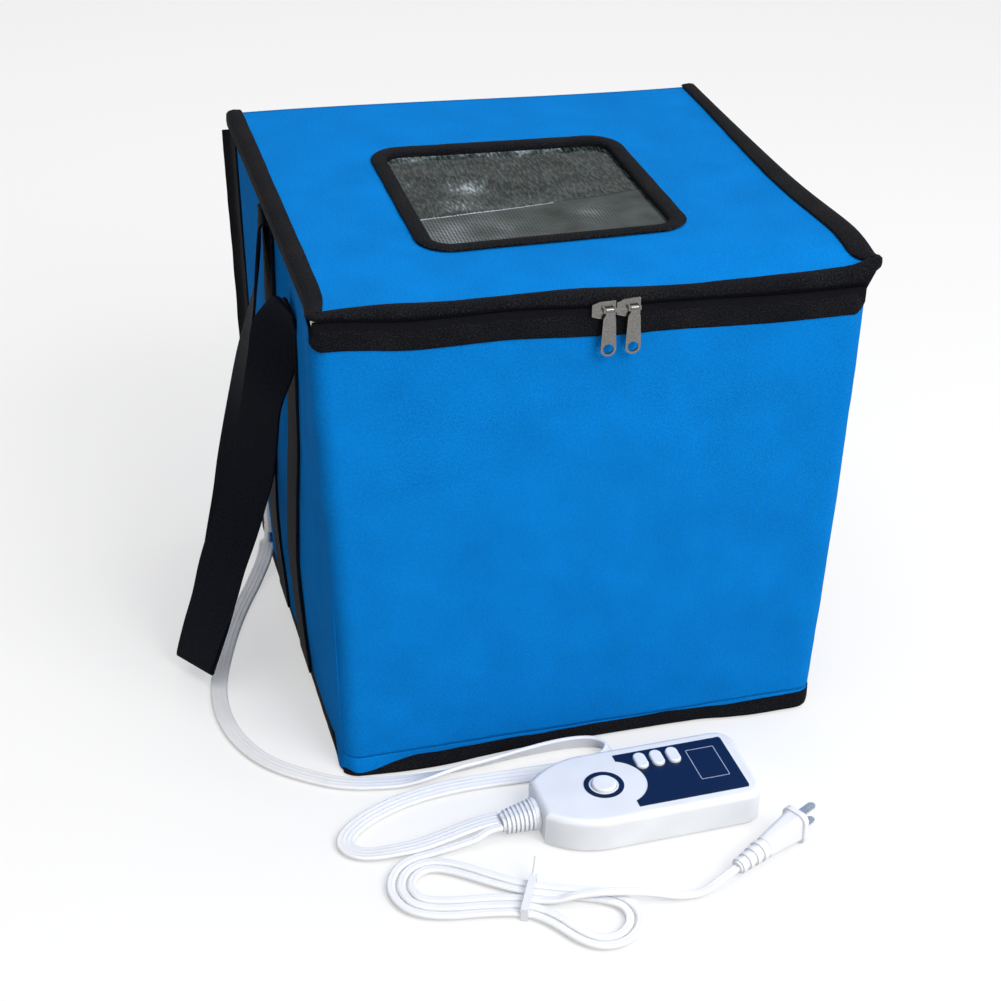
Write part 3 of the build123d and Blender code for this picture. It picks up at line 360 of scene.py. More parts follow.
BOARD_GREEN = moulded("green_board", (0.03, 0.20, 0.07), 0.4)
PART_BLACK = moulded("board_parts", (0.02, 0.02, 0.02), 0.5)
MAT_WIRE = moulded("mat_wire", (0.5, 0.12, 0.05), 0.5)
BOARD_GREY = moulded("floor_board", (0.42, 0.43, 0.45), 0.6)
WINDOW = window_plastic("window_sheet")
FRAME_LINE = moulded("display_line", (0.35, 0.40, 0.55), 0.4)


# ---- Building ----
def laid_grid(name, columns, rows, place, cloth_map, joined=False):
    """Grid whose points go to place(column, row), with its cloth map in millimetres."""
    bpy.ops.object.select_all(action="DESELECT")
    bpy.ops.mesh.primitive_grid_add(x_subdivisions=columns, y_subdivisions=rows, size=2)
    piece = bpy.context.active_object
    piece.name = name
    mesh = piece.data
    mesh.name = name
    cells = [(round((v.co.x + 1) / 2 * columns), round((v.co.y + 1) / 2 * rows)) for v in mesh.vertices]
    layer = mesh.uv_layers.active
    for loop in mesh.loops:
        layer.data[loop.index].uv = cloth_map(*cells[loop.vertex_index])
    for vertex, cell in zip(mesh.vertices, cells):
        vertex.co = Vector(place(*cell)) * MM
    if joined:
        bpy.ops.object.mode_set(mode="EDIT")
        bpy.ops.mesh.select_all(action="SELECT")
        bpy.ops.mesh.remove_doubles(threshold=0.001 * MM)
        bpy.ops.object.mode_set(mode="OBJECT")
    bpy.ops.object.shade_smooth()
    return piece


def grid_piece(name, place, columns, rows, across, along):
    """Sheet whose points come from place(u, v), both from 0 to 1."""
    return laid_grid(name, columns, rows, lambda column, row: place(column / columns, row / rows),
                     lambda column, row: (column / columns * across, row / rows * along))


def apply_modifiers(piece):
    """Applies what is on the piece, in order."""
    bpy.ops.object.select_all(action="DESELECT")
    bpy.context.view_layer.objects.active = piece
    piece.select_set(True)
    for modifier in list(piece.modifiers):
        bpy.ops.object.modifier_apply(modifier=modifier.name)
    piece.select_set(False)


def thicken(piece, thickness, offset=-1.0):
    solid = piece.modifiers.new("thickness", "SOLIDIFY")
    solid.thickness = thickness * MM
    solid.offset = offset
    solid.use_even_offset = False
    apply_modifiers(piece)
    return piece


def dress(piece, finish, body=None, nodes=()):
    """Gives a piece its material and slot, sets it on its body and hides what it stands for."""
    piece.data.materials.clear()
    piece.data.materials.append(finish)
    if body:
        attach(piece, body)
    if nodes:
        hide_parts(*nodes)
    return piece


def carry(node_name, finish):
    """A CAD node that shows as it is, with its finish."""
    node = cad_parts[node_name]
    node.data.materials.clear()
    node.data.materials.append(finish)
    return node


# ---- Cloth walls ----
def round_corner(run, half, y_face, facing, radius):
    """Place and outward direction at a run along a wall that turns both its corners. Run 0 is the middle."""
    side = 1 if run > 0 else -1
    run = abs(run)
    flat = half - radius
    if run <= flat:
        return (side * run, y_face), (0.0, facing)
    arc = math.pi / 2 * radius
    if run <= flat + arc:
        angle = (run - flat) / radius
        x = flat + radius * math.sin(angle)
        y = y_face - facing * radius * (1 - math.cos(angle))
        return (side * x, y), (side * math.sin(angle), facing * math.cos(angle))
    return (side * half, y_face - facing * (radius + run - flat - arc)), (side, 0.0)


def corner_flare(side, z):
    """How far the soft front corners lean out."""
    if side < 0:
        return TOP_LEFT_FLARE * ease((z - 120) / 200)
    return RIGHT_FLARE * mix(0.25, 1.0, min(z / 175, 1.0))


def foot_tuck(x, y):
    """1 at the front left foot, where the cloth comes down over the base, and 0 away from it."""
    return ease(1.25 - math.hypot(x + 178, y + HALF_DEPTH) / 44)


def front_surface(run, z):
    """Place on the front cloth, which turns both upright corners and is a little full in the middle."""
    half = half_width(z) + corner_flare(1 if run > 0 else -1, z)
    (x, y), (nx, ny) = round_corner(run, half, -HALF_DEPTH, -1, CORNER)
    full = 1.6 * math.sin(math.pi * z / BLUE_TOP) * (1 - min(abs(run / half), 1.0) ** 4)
    push = full + 0.75 * ripple(run, z, 60, 1.3) + 0.3 * ripple(run, z, 18, 2.1)
    return x + nx * push, y + ny * push, z


def front_wall():
    def place(u, v):
        z = mix(13.5, BLUE_TOP, v)
        side = -1 if u < 0.5 else 1
        reach = half_width(z) + corner_flare(side, z) - CORNER + math.pi / 2 * CORNER + 1.5
        return front_surface(mix(-1, 1, u) * reach, z)

    piece = grid_piece("front_wall_cloth", place, 150, 110, 380, 328)
    thicken(piece, 1.0)
    return dress(piece, BLUE, "front_panel", ["front_cover"])


def front_foot():
    """Lowest strip of the front cloth, sewn to the base, which comes down over it at the left foot."""
    def place(u, v):
        run = mix(-228, 184, u)
        x, y, _ = front_surface(run, 10.0)
        z = mix(6.0 - 4.8 * foot_tuck(x, y), 13.6, v)
        x, y, z = front_surface(run, z)
        lap = 0.02 * v + 2.6 * foot_tuck(x, y) * (1 - v)
        return (x, y - lap, z) if y < -HALF_DEPTH + 6 else (x - lap, y, z)

    piece = grid_piece("front_foot_cloth", place, 170, 8, 412, 9)
    thicken(piece, 1.0)
    dress(piece, BLUE, "base")
    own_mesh(piece)


def side_bulge(y, z, side):
    """How far the side wall's cloth stands out: drawn in about its crease, fuller low down."""
    low = 5.5 * math.exp(-((z - 95) / 85) ** 2)
    across = math.sin(math.pi * min(max((y + 166) / 318, 0), 1)) ** 0.6
    drawn = -7.0 * min(max((z - 170) / 140, 0), 1) * math.exp(-(y / 95) ** 2)
    crease = -1.6 * math.exp(-((y - CREASE_Y) / 7) ** 2)
    soft = 1.1 * ripple(y, z * 0.6, 45, 6.0 + side) + 0.5 * ripple(y * 1.4, z, 20, 9.0 + side)
    flare = corner_flare(side, z) * ease(1 - (y + HALF_DEPTH) / 90)
    return (low + crease + soft) * across + drawn + flare


def side_wall(side, name):
    """Side cloth over both halves, in one sheet across the crease."""
    word = "left" if side < 0 else "right"

    def place(u, v):
        y = mix(FRONT_AXIS_Y + 0.5, REAR_AXIS_Y - 0.3, u if side < 0 else 1 - u)
        z = mix(13.5, SIDE_TOP, v)
        return side * (half_width(z) + side_bulge(y, z, side)), y, z

    piece = grid_piece(name, place, 120, 110, 318, 336)
    piece.data.flip_normals()
    thicken(piece, 1.0)
    dress(piece, BLUE)
    x = side * half_width(180) * MM
    start, end = (x, (CREASE_Y + 5) * MM, 0.18), (x, (CREASE_Y - 5) * MM, 0.18)
    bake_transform(piece)
    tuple(start)
    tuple(end)
    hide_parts(f"{word}_rear_cover", f"{word}_front_cover")
    return piece


def foam_half(word, end, body):
    """Foil-faced foam of one half of a side wall, soft at its edges."""
    side = -1 if word == "left" else 1
    y0, y1 = (CREASE_Y + 0.3, REAR_AXIS_Y - 0.3) if end == "rear" else (FRONT_AXIS_Y + 0.3, CREASE_Y - 0.3)

    def place(u, v):
        y = mix(y0 + 0.6, y1 - 0.6, u if side > 0 else 1 - u)
        z = mix(16.0, SIDE_TOP - 0.6, v)
        soft = 0.9 * ripple(y, z, 30, 12.0 + side) + 0.4 * ripple(y, z, 9, 14.0)
        edge = min(u, 1 - u, v, 1 - v)
        soft = soft * ease(edge / 0.08) + 1.2 * (1 - ease(edge / 0.02))
        return side * (half_width(z) + min(side_bulge(y, z, side), 0.0) - 7.8 + min(soft, 1.2)), y, z

    piece = grid_piece(f"{word}_{end}_foam", place, 60, 90, 158, 334)
    piece.data.flip_normals()
    thicken(piece, 5.2, -1.0)
    dress(piece, FOIL, body, [f"{word}_{end}_lining"])
    return piece


def end_foam(name, y_face, facing, body, node):
    """Foil-faced foam of the front or back wall."""
    def place(u, v):
        half = half_width(mix(16.0, 353.4, v)) - 9.0
        x = mix(-half, half, u) * (1 if facing > 0 else -1)
        z = mix(16.0, 353.4 - (front_sink(x) if facing > 0 else 0), v)
        edge = min(u, 1 - u, v, 1 - v)
        soft = 0.9 * ripple(x, z, 34, 20.0 + facing) + 0.4 * ripple(x, z, 9, 22.0)
        soft = soft * ease(edge / 0.05) - 1.0 * (1 - ease(edge / 0.015))
        return x, y_face + facing * min(soft, 0.9), z

    piece = grid_piece(name, place, 110, 90, 350, 338)
    piece.data.flip_normals()
    thicken(piece, 5.6, -1.0)
    dress(piece, FOIL, body, [node])
    return piece


def back_wall():
    """Back cloth between the two bound rear corners."""
    def place(u, v):
        half = half_width(mix(12.0, 357.5, v)) - 6
        x = mix(half, -half, u)
        z = mix(12.0, 358.8 + lid_slack(x, HALF_DEPTH), v)
        full = 1.4 * math.sin(math.pi * v) * (1 - (2 * u - 1) ** 4)
        return x, HALF_DEPTH - 0.2 + full + 0.6 * ripple(x, z, 55, 31.0), z

    piece = grid_piece("back_wall_cloth", place, 120, 110, 358, 345)
    thicken(piece, 1.0)
    return dress(piece, BLUE, "base", ["back_cover"])


def rear_corner(side, word):
    """Black binding of the rear corner's seam, which stands out a little."""
    section = smooth_line([Vector(p) for p in (
        (0.9, 148, 0), (1.1, 160, 0), (1.7, 168, 0), (5.0, 173.4, 0), (6.2, 175.0, 0), (5.2, 176.6, 0),
        (0.5, 176.4, 0), (-14, 176, 0))], 3)

    def place(step, row):
        z = mix(12.0, 352.5, row / 120)
        lift = 0.45 * ripple(section[step].y, z, 20, 40.0 + side)
        return side * (half_width(z) + section[step].x + lift), section[step].y + 0.4 * lift, z

    piece = laid_grid(f"rear_corner_tape_{word}", len(section) - 1, 120, place, lambda step, row: (step * 2.2, row * 2.84))
    if side > 0:
        piece.data.flip_normals()
    piece.data.flip_normals()
    thicken(piece, 1.3)
    return dress(piece, BINDING, "base", [f"rear_corner_{word}"])


# ---- Bands swept round an outline ----
def rounded_outline(half_x, half_y, centre, radius, steps, length_step=8.0):
    """Closed outline, counter-clockwise from the middle of the +X side, as (x, y, outward x, outward y)."""
    cx, cy = centre
    flats_x, flats_y = half_x - radius, half_y - radius
    corners = [(flats_x, flats_y, 0), (-flats_x, flats_y, 90), (-flats_x, -flats_y, 180), (flats_x, -flats_y, 270)]
    outline = []
    for index, (px, py, start) in enumerate(corners):
        for step in range(steps + 1):
            angle = math.radians(start + 90 * step / steps)
            nx, ny = math.cos(angle), math.sin(angle)
            outline.append((cx + px + radius * nx, cy + py + radius * ny, nx, ny))
        qx, qy, turn = corners[(index + 1) % 4]
        angle = math.radians(start + 90)
        nx, ny = math.cos(angle), math.sin(angle)
        ax, ay = cx + px + radius * nx, cy + py + radius * ny
        bx, by = cx + qx + radius * nx, cy + qy + radius * ny
        count = max(2, int(math.hypot(bx - ax, by - ay) / length_step))
        for step in range(1, count):
            outline.append((mix(ax, bx, step / count), mix(ay, by, step / count), nx, ny))
    return outline


def swept_band(name, outline, profile, closed, warp=None):
    """Band whose cross-section, a list of (outward, z), follows an outline."""
    count = len(outline)
    runs = [0.0]
    for index in range(count):
        here, after = outline[index], outline[(index + 1) % count]
        runs.append(runs[-1] + math.hypot(after[0] - here[0], after[1] - here[1]))
    sections = [profile(x, y, run) for (x, y, _, _), run in zip(outline, runs)]

    def place(step, index):
        x, y, nx, ny = outline[index % count]
        out, z = sections[index % count][step]
        point = (x + nx * out, y + ny * out, z)
        return warp(*point) if warp else point

    def cloth_map(step, index):
        section = sections[index % count]
        along = sum(math.hypot(b[0] - a[0], b[1] - a[1]) for a, b in zip(section[:step], section[1:step + 1]))
        return runs[index], along

    rows = count if closed else count - 1
    return laid_grid(name, len(sections[0]) - 1, rows, place, cloth_map, joined=closed)


def base_band():
    """Black bound rim of the base, with its cloth bottom."""
    outline = rounded_outline(half_width(7) + 1.2, HALF_DEPTH + 1.0, (0, 0), CORNER, 8, 5.0)

    def profile(x, y, run):
        wave = 0.5 * ripple(run, 0, 22, 50.0)
        front = 1.0 if y < -HALF_DEPTH + 6 else 0.0
        fall = mix(-6.5, 1.5, (x + 176) / 352) - 4.5 * ease((x - 60) / 60)
        top = TRAY_HEIGHT - 0.4 + wave + front * fall
        top = mix(top, 4.0, foot_tuck(x, y))
        out = 0.3 * ripple(run, 5, 12, 51.0)
        spread = front * (6.5 * math.exp(-((x + 118) / 48) ** 2) + 4.5 * ease((x - 80) / 50) * ease((178 - x) / 16))
        low = min(4.5, top * 0.4)
        return [(-30, 0.9), (-6, 0.7), (-1.6 + spread, 0.5), (0.2 + out + spread, low * 0.4),
                (0.6 + out + spread * 0.7, low), (0.5 + out + spread * 0.1, top - 1.5),
                (0.0 + out, top - 0.5), (-1.2, top)]

    band = swept_band("base_band_tape", outline, profile, True)
    thicken(band, 1.0, 1.0)
    dress(band, BINDING, "base", ["base_tray"])
    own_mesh(band)

    def place(u, v):
        x, y = mix(-168, 168, u), mix(-166, 166, v)
        return x, y, 1.1 + 0.15 * ripple(x, y, 40, 52.0)

    bottom = grid_piece("base_cloth", place, 30, 30, 336, 332)
    thicken(bottom, 0.8)
    dress(bottom, WEBBING, "base")
    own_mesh(bottom)


# ---- Lid ----
def lid_slack(x, y):
    """The lid's cloth sits a little high at its rear left and low at its rear right."""
    back = ease((y + 175) / 350)
    return back * mix(5.5, -3.5, ease((x + 188) / 376)) - 1.2 * math.sin(math.pi * (x + 188) / 376) * (1 - back) * 0.4


def near_corner(x, y, side, reach):
    """1 at a front corner of the lid and 0 away from it."""
    away = math.hypot(side * LID_HALF - x, y + HALF_DEPTH)
    return math.exp(-(away / reach) ** 2)


def front_sink(x):
    """How far the lid's front edge sinks, more to the right."""
    return 3.0 * ease((x + 150) / 60) + 6.2 * ease((x + 30) / 100)


def warp_lid(x, y, z):
    """The lid's slack, its sunken front edge, its side edges that aren't straight, and its soft front corners."""
    left, right = near_corner(x, y, -1, 22), near_corner(x, y, 1, 13)
    sink = front_sink(x) * math.exp(-((y + HALF_DEPTH) / 28) ** 2)
    out = 8.5 * math.exp(-((y + 145) / 75) ** 2) * ease((x - 60) / 110)
    drawn = 2.6 * ease((-x - 60) / 110) * ease((y + 178) / 50)
    return x - 2.0 * left - 1.0 * right + out + drawn, y, z + lid_slack(x, y) - sink - 1.0 * left + 9.0 * right


def ring_sheet(name, height, inner_grow, flip=False, rings=26):
    """Sheet between the window's opening and the lid's edge."""
    inner = rounded_outline(WINDOW_WIDTH / 2 + inner_grow, WINDOW_DEPTH / 2 + inner_grow,
                            (WINDOW_X, WINDOW_Y), WINDOW_CORNER + inner_grow, 12, 7.0)
    half_x, front, back = LID_HALF - 1.5, -HALF_DEPTH + 1.5, HALF_DEPTH - 0.5
    count = len(inner)

    def flat_place(ring, index):
        x, y = inner[index % count][:2]
        dx, dy = x - WINDOW_X, y - WINDOW_Y
        reach = []
        if dx:
            reach.append(((half_x if dx > 0 else -half_x) - WINDOW_X) / dx)
        if dy:
            reach.append(((back if dy > 0 else front) - WINDOW_Y) / dy)
        share = mix(1, min(reach), ring / rings)
        return WINDOW_X + dx * share, WINDOW_Y + dy * share

    def place(ring, index):
        x, y = flat_place(ring, index)
        return warp_lid(x, y, height(x, y, ring / rings))

    piece = laid_grid(name, rings, count, place, flat_place, joined=True)
    if flip:
        piece.data.flip_normals()
    return piece


def lid_cloth():
    def height(x, y, out):
        soft = 0.5 * ripple(x, y, 70, 60.0) + 0.25 * ripple(x, y, 22, 61.0)
        dip = -0.8 * (1 - ease(out / 0.25))
        return 360.3 + soft * math.sin(math.pi * min(out, 1)) + dip

    piece = ring_sheet("lid_cloth", height, 1.0)
    thicken(piece, 1.0)
    dress(piece, BLUE, "lid", ["lid_cover"])
    return piece


def lid_foil():
    def height(x, y, out):
        soft = 0.5 * ripple(x, y, 30, 63.0) + 0.3 * ripple(x, y, 9, 64.0)
        return 355.4 + soft * 0.5

    piece = ring_sheet("lid_foam", height, 1.0, flip=True)
    thicken(piece, 3.4, -1.0)
    dress(piece, FOIL, "lid", ["lid_lining"])
    return piece


def window_tape():
    """Bound edge round the window, over and under the lid."""
    outline = rounded_outline(WINDOW_WIDTH / 2, WINDOW_DEPTH / 2, (WINDOW_X, WINDOW_Y), WINDOW_CORNER, 12, 5.0)

    def profile(x, y, run):
        wave = 0.25 * ripple(run, 3, 10, 66.0)
        edge = WINDOW_TAPE + 0.35 * ripple(run, 9, 16, 67.0)
        return [(edge, 360.4), (edge - 0.6, 361.1 + wave), (5, 361.5 + wave), (0.9, 361.1), (-0.2, 360.2),
                (-0.3, 358.3), (0.2, 356.6), (1.2, 355.6), (6, 355.2), (9, 355.6)]

    piece = swept_band("window_tape", outline, profile, True, warp_lid)
    thicken(piece, 0.9)
    return dress(piece, BINDING, "lid", ["window_binding"])


def window_sheet():
    """Clear sheet sewn under the window's edge, loose enough to ripple."""
    def place(u, v):
        x = WINDOW_X + mix(-1, 1, u) * (WINDOW_WIDTH / 2 + 5)
        y = WINDOW_Y + mix(-1, 1, v) * (WINDOW_DEPTH / 2 + 5)
        loose = math.sin(math.pi * u) * math.sin(math.pi * v)
        return x, y, 357.6 + lid_slack(x, y) - 1.6 * loose + 1.1 * loose * ripple(x * 0.7, y, 24, 70.0)

    piece = grid_piece("window_sheet", place, 60, 60, 170, 162)
    thicken(piece, 0.4)
    dress(piece, WINDOW, "lid", ["window_film"])
    return piece


def lid_edge_outline():
    """Left, front and right edges of the lid, from its rear left corner round to its rear right."""
    full = rounded_outline(LID_HALF, HALF_DEPTH, (0, 0), 7.0, 8, 6.0)
    turned = sorted((p for p in full if p[1] < HALF_DEPTH - 8), key=edge_run)
    ends = [(turned[0][0], HALF_DEPTH, *turned[0][2:]), (turned[-1][0], HALF_DEPTH, *turned[-1][2:])]
    return ends[:1] + turned[1:-1] + ends[1:]


def edge_run(p):
    """Distance from the rear left corner, down the left edge, along the front and up the right edge."""
    x, y = p[0], p[1]
    corner = 9.0
    if x < 0 and y > -HALF_DEPTH + corner:
        return HALF_DEPTH - y
    if x > 0 and y > -HALF_DEPTH + corner:
        return 2 * HALF_DEPTH + 2 * LID_HALF + y + HALF_DEPTH
    return 2 * HALF_DEPTH + LID_HALF + x + (1e-3 * y if x < 0 else -1e-3 * y)


def lid_binding():
    """Black tape that binds the lid's side and front edges."""
    outline = lid_edge_outline()

    def profile(x, y, run):
        at_front = ease((-y - 150) / 20)
        wave = 0.4 * ripple(run, 2, 16, 72.0)
        side_width = 9.5 if x < 0 else mix(9.5, 16.5, ease((HALF_DEPTH - y) / 300))
        width = mix(side_width, 8.0, at_front) + 0.4 * ripple(run, 8, 18, 73.0)
        above_zip = max(353.3, ZIP_LINE + 1.8 + tape_shift(x) + front_sink(x))
        bottom = mix(350.5, above_zip, at_front)
        return [(-width, 360.6), (-width + 0.8, 361.5 + wave * 0.4), (-4, 361.9 + wave * 0.4), (-0.8, 361.2),
                (0.6 + wave * 0.5, 359.6), (0.8 + wave * 0.6, mix(359.6, bottom, 0.5)), (0.5, bottom + 0.7),
                (-0.6, bottom)]

    piece = swept_band("lid_edge_tape", outline, profile, False, warp_lid)
    piece.data.flip_normals()
    thicken(piece, 1.1)
    return dress(piece, BINDING, "lid", ["lid_binding"])


# ---- Zip ----
def tape_shift(x):
    """The zip climbs towards its left end and sinks towards its right."""
    return 5.2 * ease((20 - x) / 90) + 5.5 * ease((-x - 120) / 65) - 4.5 * ease((x - 20) / 130)


def upper_tape():
    """The lid's half of the zip: smooth tape that hangs from the bound edge."""
    def place(u, v):
        x = mix(-187, 187, u)
        y = -HALF_DEPTH - 1.0 + 0.25 * ripple(x, v, 18, 80.0) + 0.5 * v
        hem = Vector(warp_lid(x, y, 359.5))
        zip_side = Vector((min(x, 184.5), y + 0.5, ZIP_LINE - 2.5 + tape_shift(x)))
        return tuple(zip_side.lerp(hem, v))

    piece = grid_piece("upper_zip_tape", place, 160, 8, 368, 8)
    thicken(piece, 0.7, 0.0)
    dress(piece, SMOOTH_TAPE, "lid", ["upper_zip_tape"])


def lower_tape():
    """The front wall's half of the zip and the coarse tape under it, rounded at its ends."""
    def field(u, v):
        x = mix(-189, 184, u)
        z = mix(LOWER_TAPE_TOP - 4.0, ZIP_LINE - 0.5, v) + tape_shift(x)
        return x, -HALF_DEPTH - 1.1 - 0.5 * v + 0.2 * ripple(x, z, 18, 81.0), z

    smooth = grid_piece("lower_zip_field", field, 160, 8, 368, 8)
    thicken(smooth, 0.7, 0.0)
    dress(smooth, SMOOTH_TAPE, "front_panel")

    def coarse(u, v):
        x = mix(-190.5, 185.5, u)
        end = max(0.0, abs(x + 2.5) - 180.0)
        low = LOWER_TAPE_BOTTOM + 1.2 * ripple(x, 0, 60, 82.0) + tape_shift(x)
        low += 8.0 * (1 - math.sqrt(max(0, 1 - (end / 8.2) ** 2)))
        top = LOWER_TAPE_TOP + 0.3 * ripple(x, 2, 25, 83.0) + tape_shift(x)
        z = mix(low, top, v)
        edge = 1 - (2 * v - 1) ** 6
        back = 3.0 * ease((abs(x + 2.5) - 180) / 8)
        return x, -HALF_DEPTH - 0.9 - 0.9 * edge - 0.3 * ripple(x, z, 9, 84.0) + back, z

    tape = grid_piece("lower_edge_tape", coarse, 200, 12, 376, 17)
    thicken(tape, 1.0, -1.0)
    dress(tape, BINDING, "front_panel", ["lower_zip_tape"])


def zip_coil(name, body, gap, y):
    """One tooth of the coil, repeated along its tape."""
    bpy.ops.object.select_all(action="DESELECT")
    bpy.ops.mesh.primitive_torus_add(
        major_radius=0.8 * MM, minor_radius=0.32 * MM, major_segments=10, minor_segments=4,
        location=(-186 * MM, y * MM, (ZIP_LINE + gap) * MM), rotation=(0, math.radians(90), 0))
    coil = bpy.context.active_object
    coil.name = name
    bpy.ops.object.transform_apply(location=True, rotation=True, scale=True)
    teeth = coil.modifiers.new("teeth", "ARRAY")
    teeth.count = 247
    teeth.use_relative_offset = False
    teeth.use_constant_offset = True
    teeth.constant_offset_displace = (1.5 * MM, 0, 0)
    apply_modifiers(coil)
    for vertex in coil.data.vertices:
        vertex.co.z += tape_shift(vertex.co.x / MM) * MM
    dress(coil, SMOOTH_TAPE, body)


# ---- Straps ----
def smooth_line(stations, steps):
    """Points between stations on one smooth line through them all."""
    line = []
    count = len(stations)
    for index in range(count - 1):
        p0, p1 = stations[max(index - 1, 0)], stations[index]
        p2, p3 = stations[index + 1], stations[min(index + 2, count - 1)]
        for step in range(steps):
            t = step / steps
            line.append(0.5 * ((2 * p1) + (p2 - p0) * t + (2 * p0 - 5 * p1 + 4 * p2 - p3) * t * t
                               + (3 * p1 - p0 - 3 * p2 + p3) * t * t * t))
    line.append(stations[-1])
    return line


def strap_piece(name, stations, width, steps=7, thickness=STRAP):
    """Flat webbing along stations, each (middle, direction across)."""
    middles = smooth_line([Vector(m) for m, _ in stations], steps)
    across = [a.normalized() for a in smooth_line([Vector(a).normalized() for _, a in stations], steps)]
    runs = [0.0]
    for here, after in zip(middles, middles[1:]):
        runs.append(runs[-1] + (after - here).length)
    columns = 8
    piece = laid_grid(name, columns, len(middles) - 1,
                      lambda column, index: middles[index] + across[index] * width * (column / columns - 0.5),
                      lambda column, index: ((column / columns - 0.5) * width, runs[index]))
    thicken(piece, thickness, 0.0)
    soften = piece.modifiers.new("soft_edges", "BEVEL")
    soften.width = 0.5 * MM
    soften.segments = 2
    soften.limit_method = "ANGLE"
    soften.angle_limit = math.radians(60)
    apply_modifiers(piece)
    return piece


def on_side(side, y, z, out):
    return side * (half_width(z) + side_bulge(y, z, side) + out), y, z


def sewn_band(side, word, end):
    """Webbing sewn up the side wall, which turns over at its top to become the handle."""
    y = STRAP_OFFSET if end == "rear" else -STRAP_OFFSET
    top = REAR_FOLD_TOP if end == "rear" else FRONT_FOLD_TOP
    stations = []
    for step in range(12):
        z = mix(12.0, top - 4.0, step / 11)
        stations.append((on_side(side, y, z, 1.5), (0, 1, 0)))
    stations.append((on_side(side, y, top - 0.6, 2.6), (0, 1, 0)))
    stations.append((on_side(side, y, top + 0.4, 4.4), (0, 1, 0)))
    piece = strap_piece(f"{word}_{end}_band", stations, STRAP_WIDTH)
    return dress(piece, WEBBING, f"{word}_{end}_panel", [f"{word}_{end}_strap"])


def handle(side, word, front_leg, rear_leg):
    """Handle webbing: out from the front fold, down, round its low end and back up to the rear fold."""
    stations = [((side * x, y, z), turned(side, turn)) for x, y, z, turn in front_leg]
    x, y, z, turn = front_leg[-1]
    stations += [((side * (x - 1.4), y + 0.6, z - 3), turned(side, turn)),
                 ((side * (x - 3.2), y + 1.4, z), turned(side, turn))]
    stations += [((side * x, y, z), turned(side, turn)) for x, y, z, turn in rear_leg]
    piece = strap_piece(f"{word}_handle_webbing", stations, STRAP_WIDTH, 8)
    dress(piece, WEBBING, f"{word}_handle", [f"{word}_handle_loop"])
    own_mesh(piece)
    return piece


def turned(side, degrees):
    """Direction across the webbing when it has turned about the upright from the wall's own."""
    angle = math.radians(degrees)
    return side * math.sin(angle), math.cos(angle), 0.0


def handles():
    front_leg = [
        (182.8, -46, 305.6, 4), (185.4, -48, 308.4, 12), (188.8, -50, 304, 24), (192.5, -50, 293, 46),
        (195.4, -50, 270, 52), (203.5, -50, 241, 35), (207.8, -49, 214, 38), (211.8, -48, 187, 41),
        (220.0, -46, 159, 48), (229.1, -44, 131, 60), (238.1, -42, 103, 53), (245.6, -39, 73, 47),
        (255.2, -36, 44, 38), (262.6, -33, 16.5, 34)]
    rear_leg = [
        (242, -14, 54, 40), (227, 8, 99, 42), (221, 18, 122, 36), (216.2, 28, 145, 30), (211, 36, 168, 24),
        (206.5, 42, 194, 14), (202, 45, 224, 3), (196.5, 45, 250, -4), (190.5, 45, 278, -11),
        (187.2, 45, 308, -13), (185.2, 45, 334, -9), (182.2, 45, 338.2, -6)]
    handle(-1, "left", front_leg, rear_leg)
    front_leg = [
        (182.8, -46, 305.6, 4), (185.4, -46, 308.2, 6), (188, -46, 303, 8), (191, -46, 280, 10),
        (195, -46, 240, 12), (200, -45, 190, 14), (206, -41, 130, 16), (212, -34, 70, 16), (217, -28, 17, 15)]
    rear_leg = [
        (210, -14, 60, 12), (205, 8, 110, 8), (201, 28, 165, 4), (197, 41, 225, 2), (193, 45, 280, 2),
        (188.6, 45, 320, 3), (185.6, 45, 334, 4), (182.6, 45, 338.2, 4)]
    handle(1, "right", front_leg, rear_leg)


# ---- Cords ----
RIBBON_WIDTH, RIBBON_THICK = 12.6, 3.2
MAINS_WIDTH, MAINS_THICK = 6.2, 3.8
RIBBON_ROUTE = [
    (-181.2, 115, 33.7), (-181.2, 114.6, 20), (-187, 104, 8), (-197, 86, 3.5), (-212, 56, 3.5),
    (-227, 20, 3.5), (-240, -20, 3.5), (-249, -55, 3.5), (-250, -89, 3.5), (-243, -121, 3.5),
    (-228, -149, 3.5), (-206, -169, 3.5), (-180, -186, 3.5), (-149, -193, 3.5), (-119, -195, 3.5),
    (-87, -192, 3.5), (-55, -187.5, 3.5), (-24, -184.6, 3.5), (-5, -185.6, 3.5), (7, -189.5, 3.5),
    (13, -198, 3.5), (8, -207, 3.5), (-5, -211.5, 3.5), (-26, -212.5, 3.5), (-52, -210, 3.5),
    (-82, -207.5, 3.5), (-114, -208.5, 3.5), (-144, -214, 3.5), (-172, -226, 3.5), (-189, -240, 3.5),
    (-193, -252, 3.5), (-185, -262, 3.5), (-166, -266, 3.5), (-143, -265, 3.5), (-121, -260.5, 5.5),
    (-98, -258.0, 9.5), (-86.3, -257.6, 9.5),
]
HANK_CENTRE, HANK_TURN, HANK_STEP = (-86.3, -333.0), -25.6, 6.9
HANK_WAIST, HANK_TIED, HANK_LOOPS = 13.8, 12.0, 2
HANK_LEFT = [(-66, 35.5), (-92.3, 17.8), (-92.7, -13.2), (-66.9, -32.1)]
HANK_RIGHT = [(46, -37), (70.2, -27.6), (76.7, -2.4), (60, 17.5)]
MAINS_Z, HANK_OVER = 2.6, 9.0
HANK_START = (-50, 44.5, 5.2)
HANK_LEAVE = [(32, 4.5, HANK_OVER), (64, 14.0, HANK_OVER), (88, 19.5, 5.0)]
MAINS_NEAR = [(-86.3, -266.6, 9.5), (-95, -266.9, 9.5), (-105, -270.7, 6.5)]
MAINS_FAR = [(9.5, -355.3, 3.2), (26, -356.6, 3.0)]
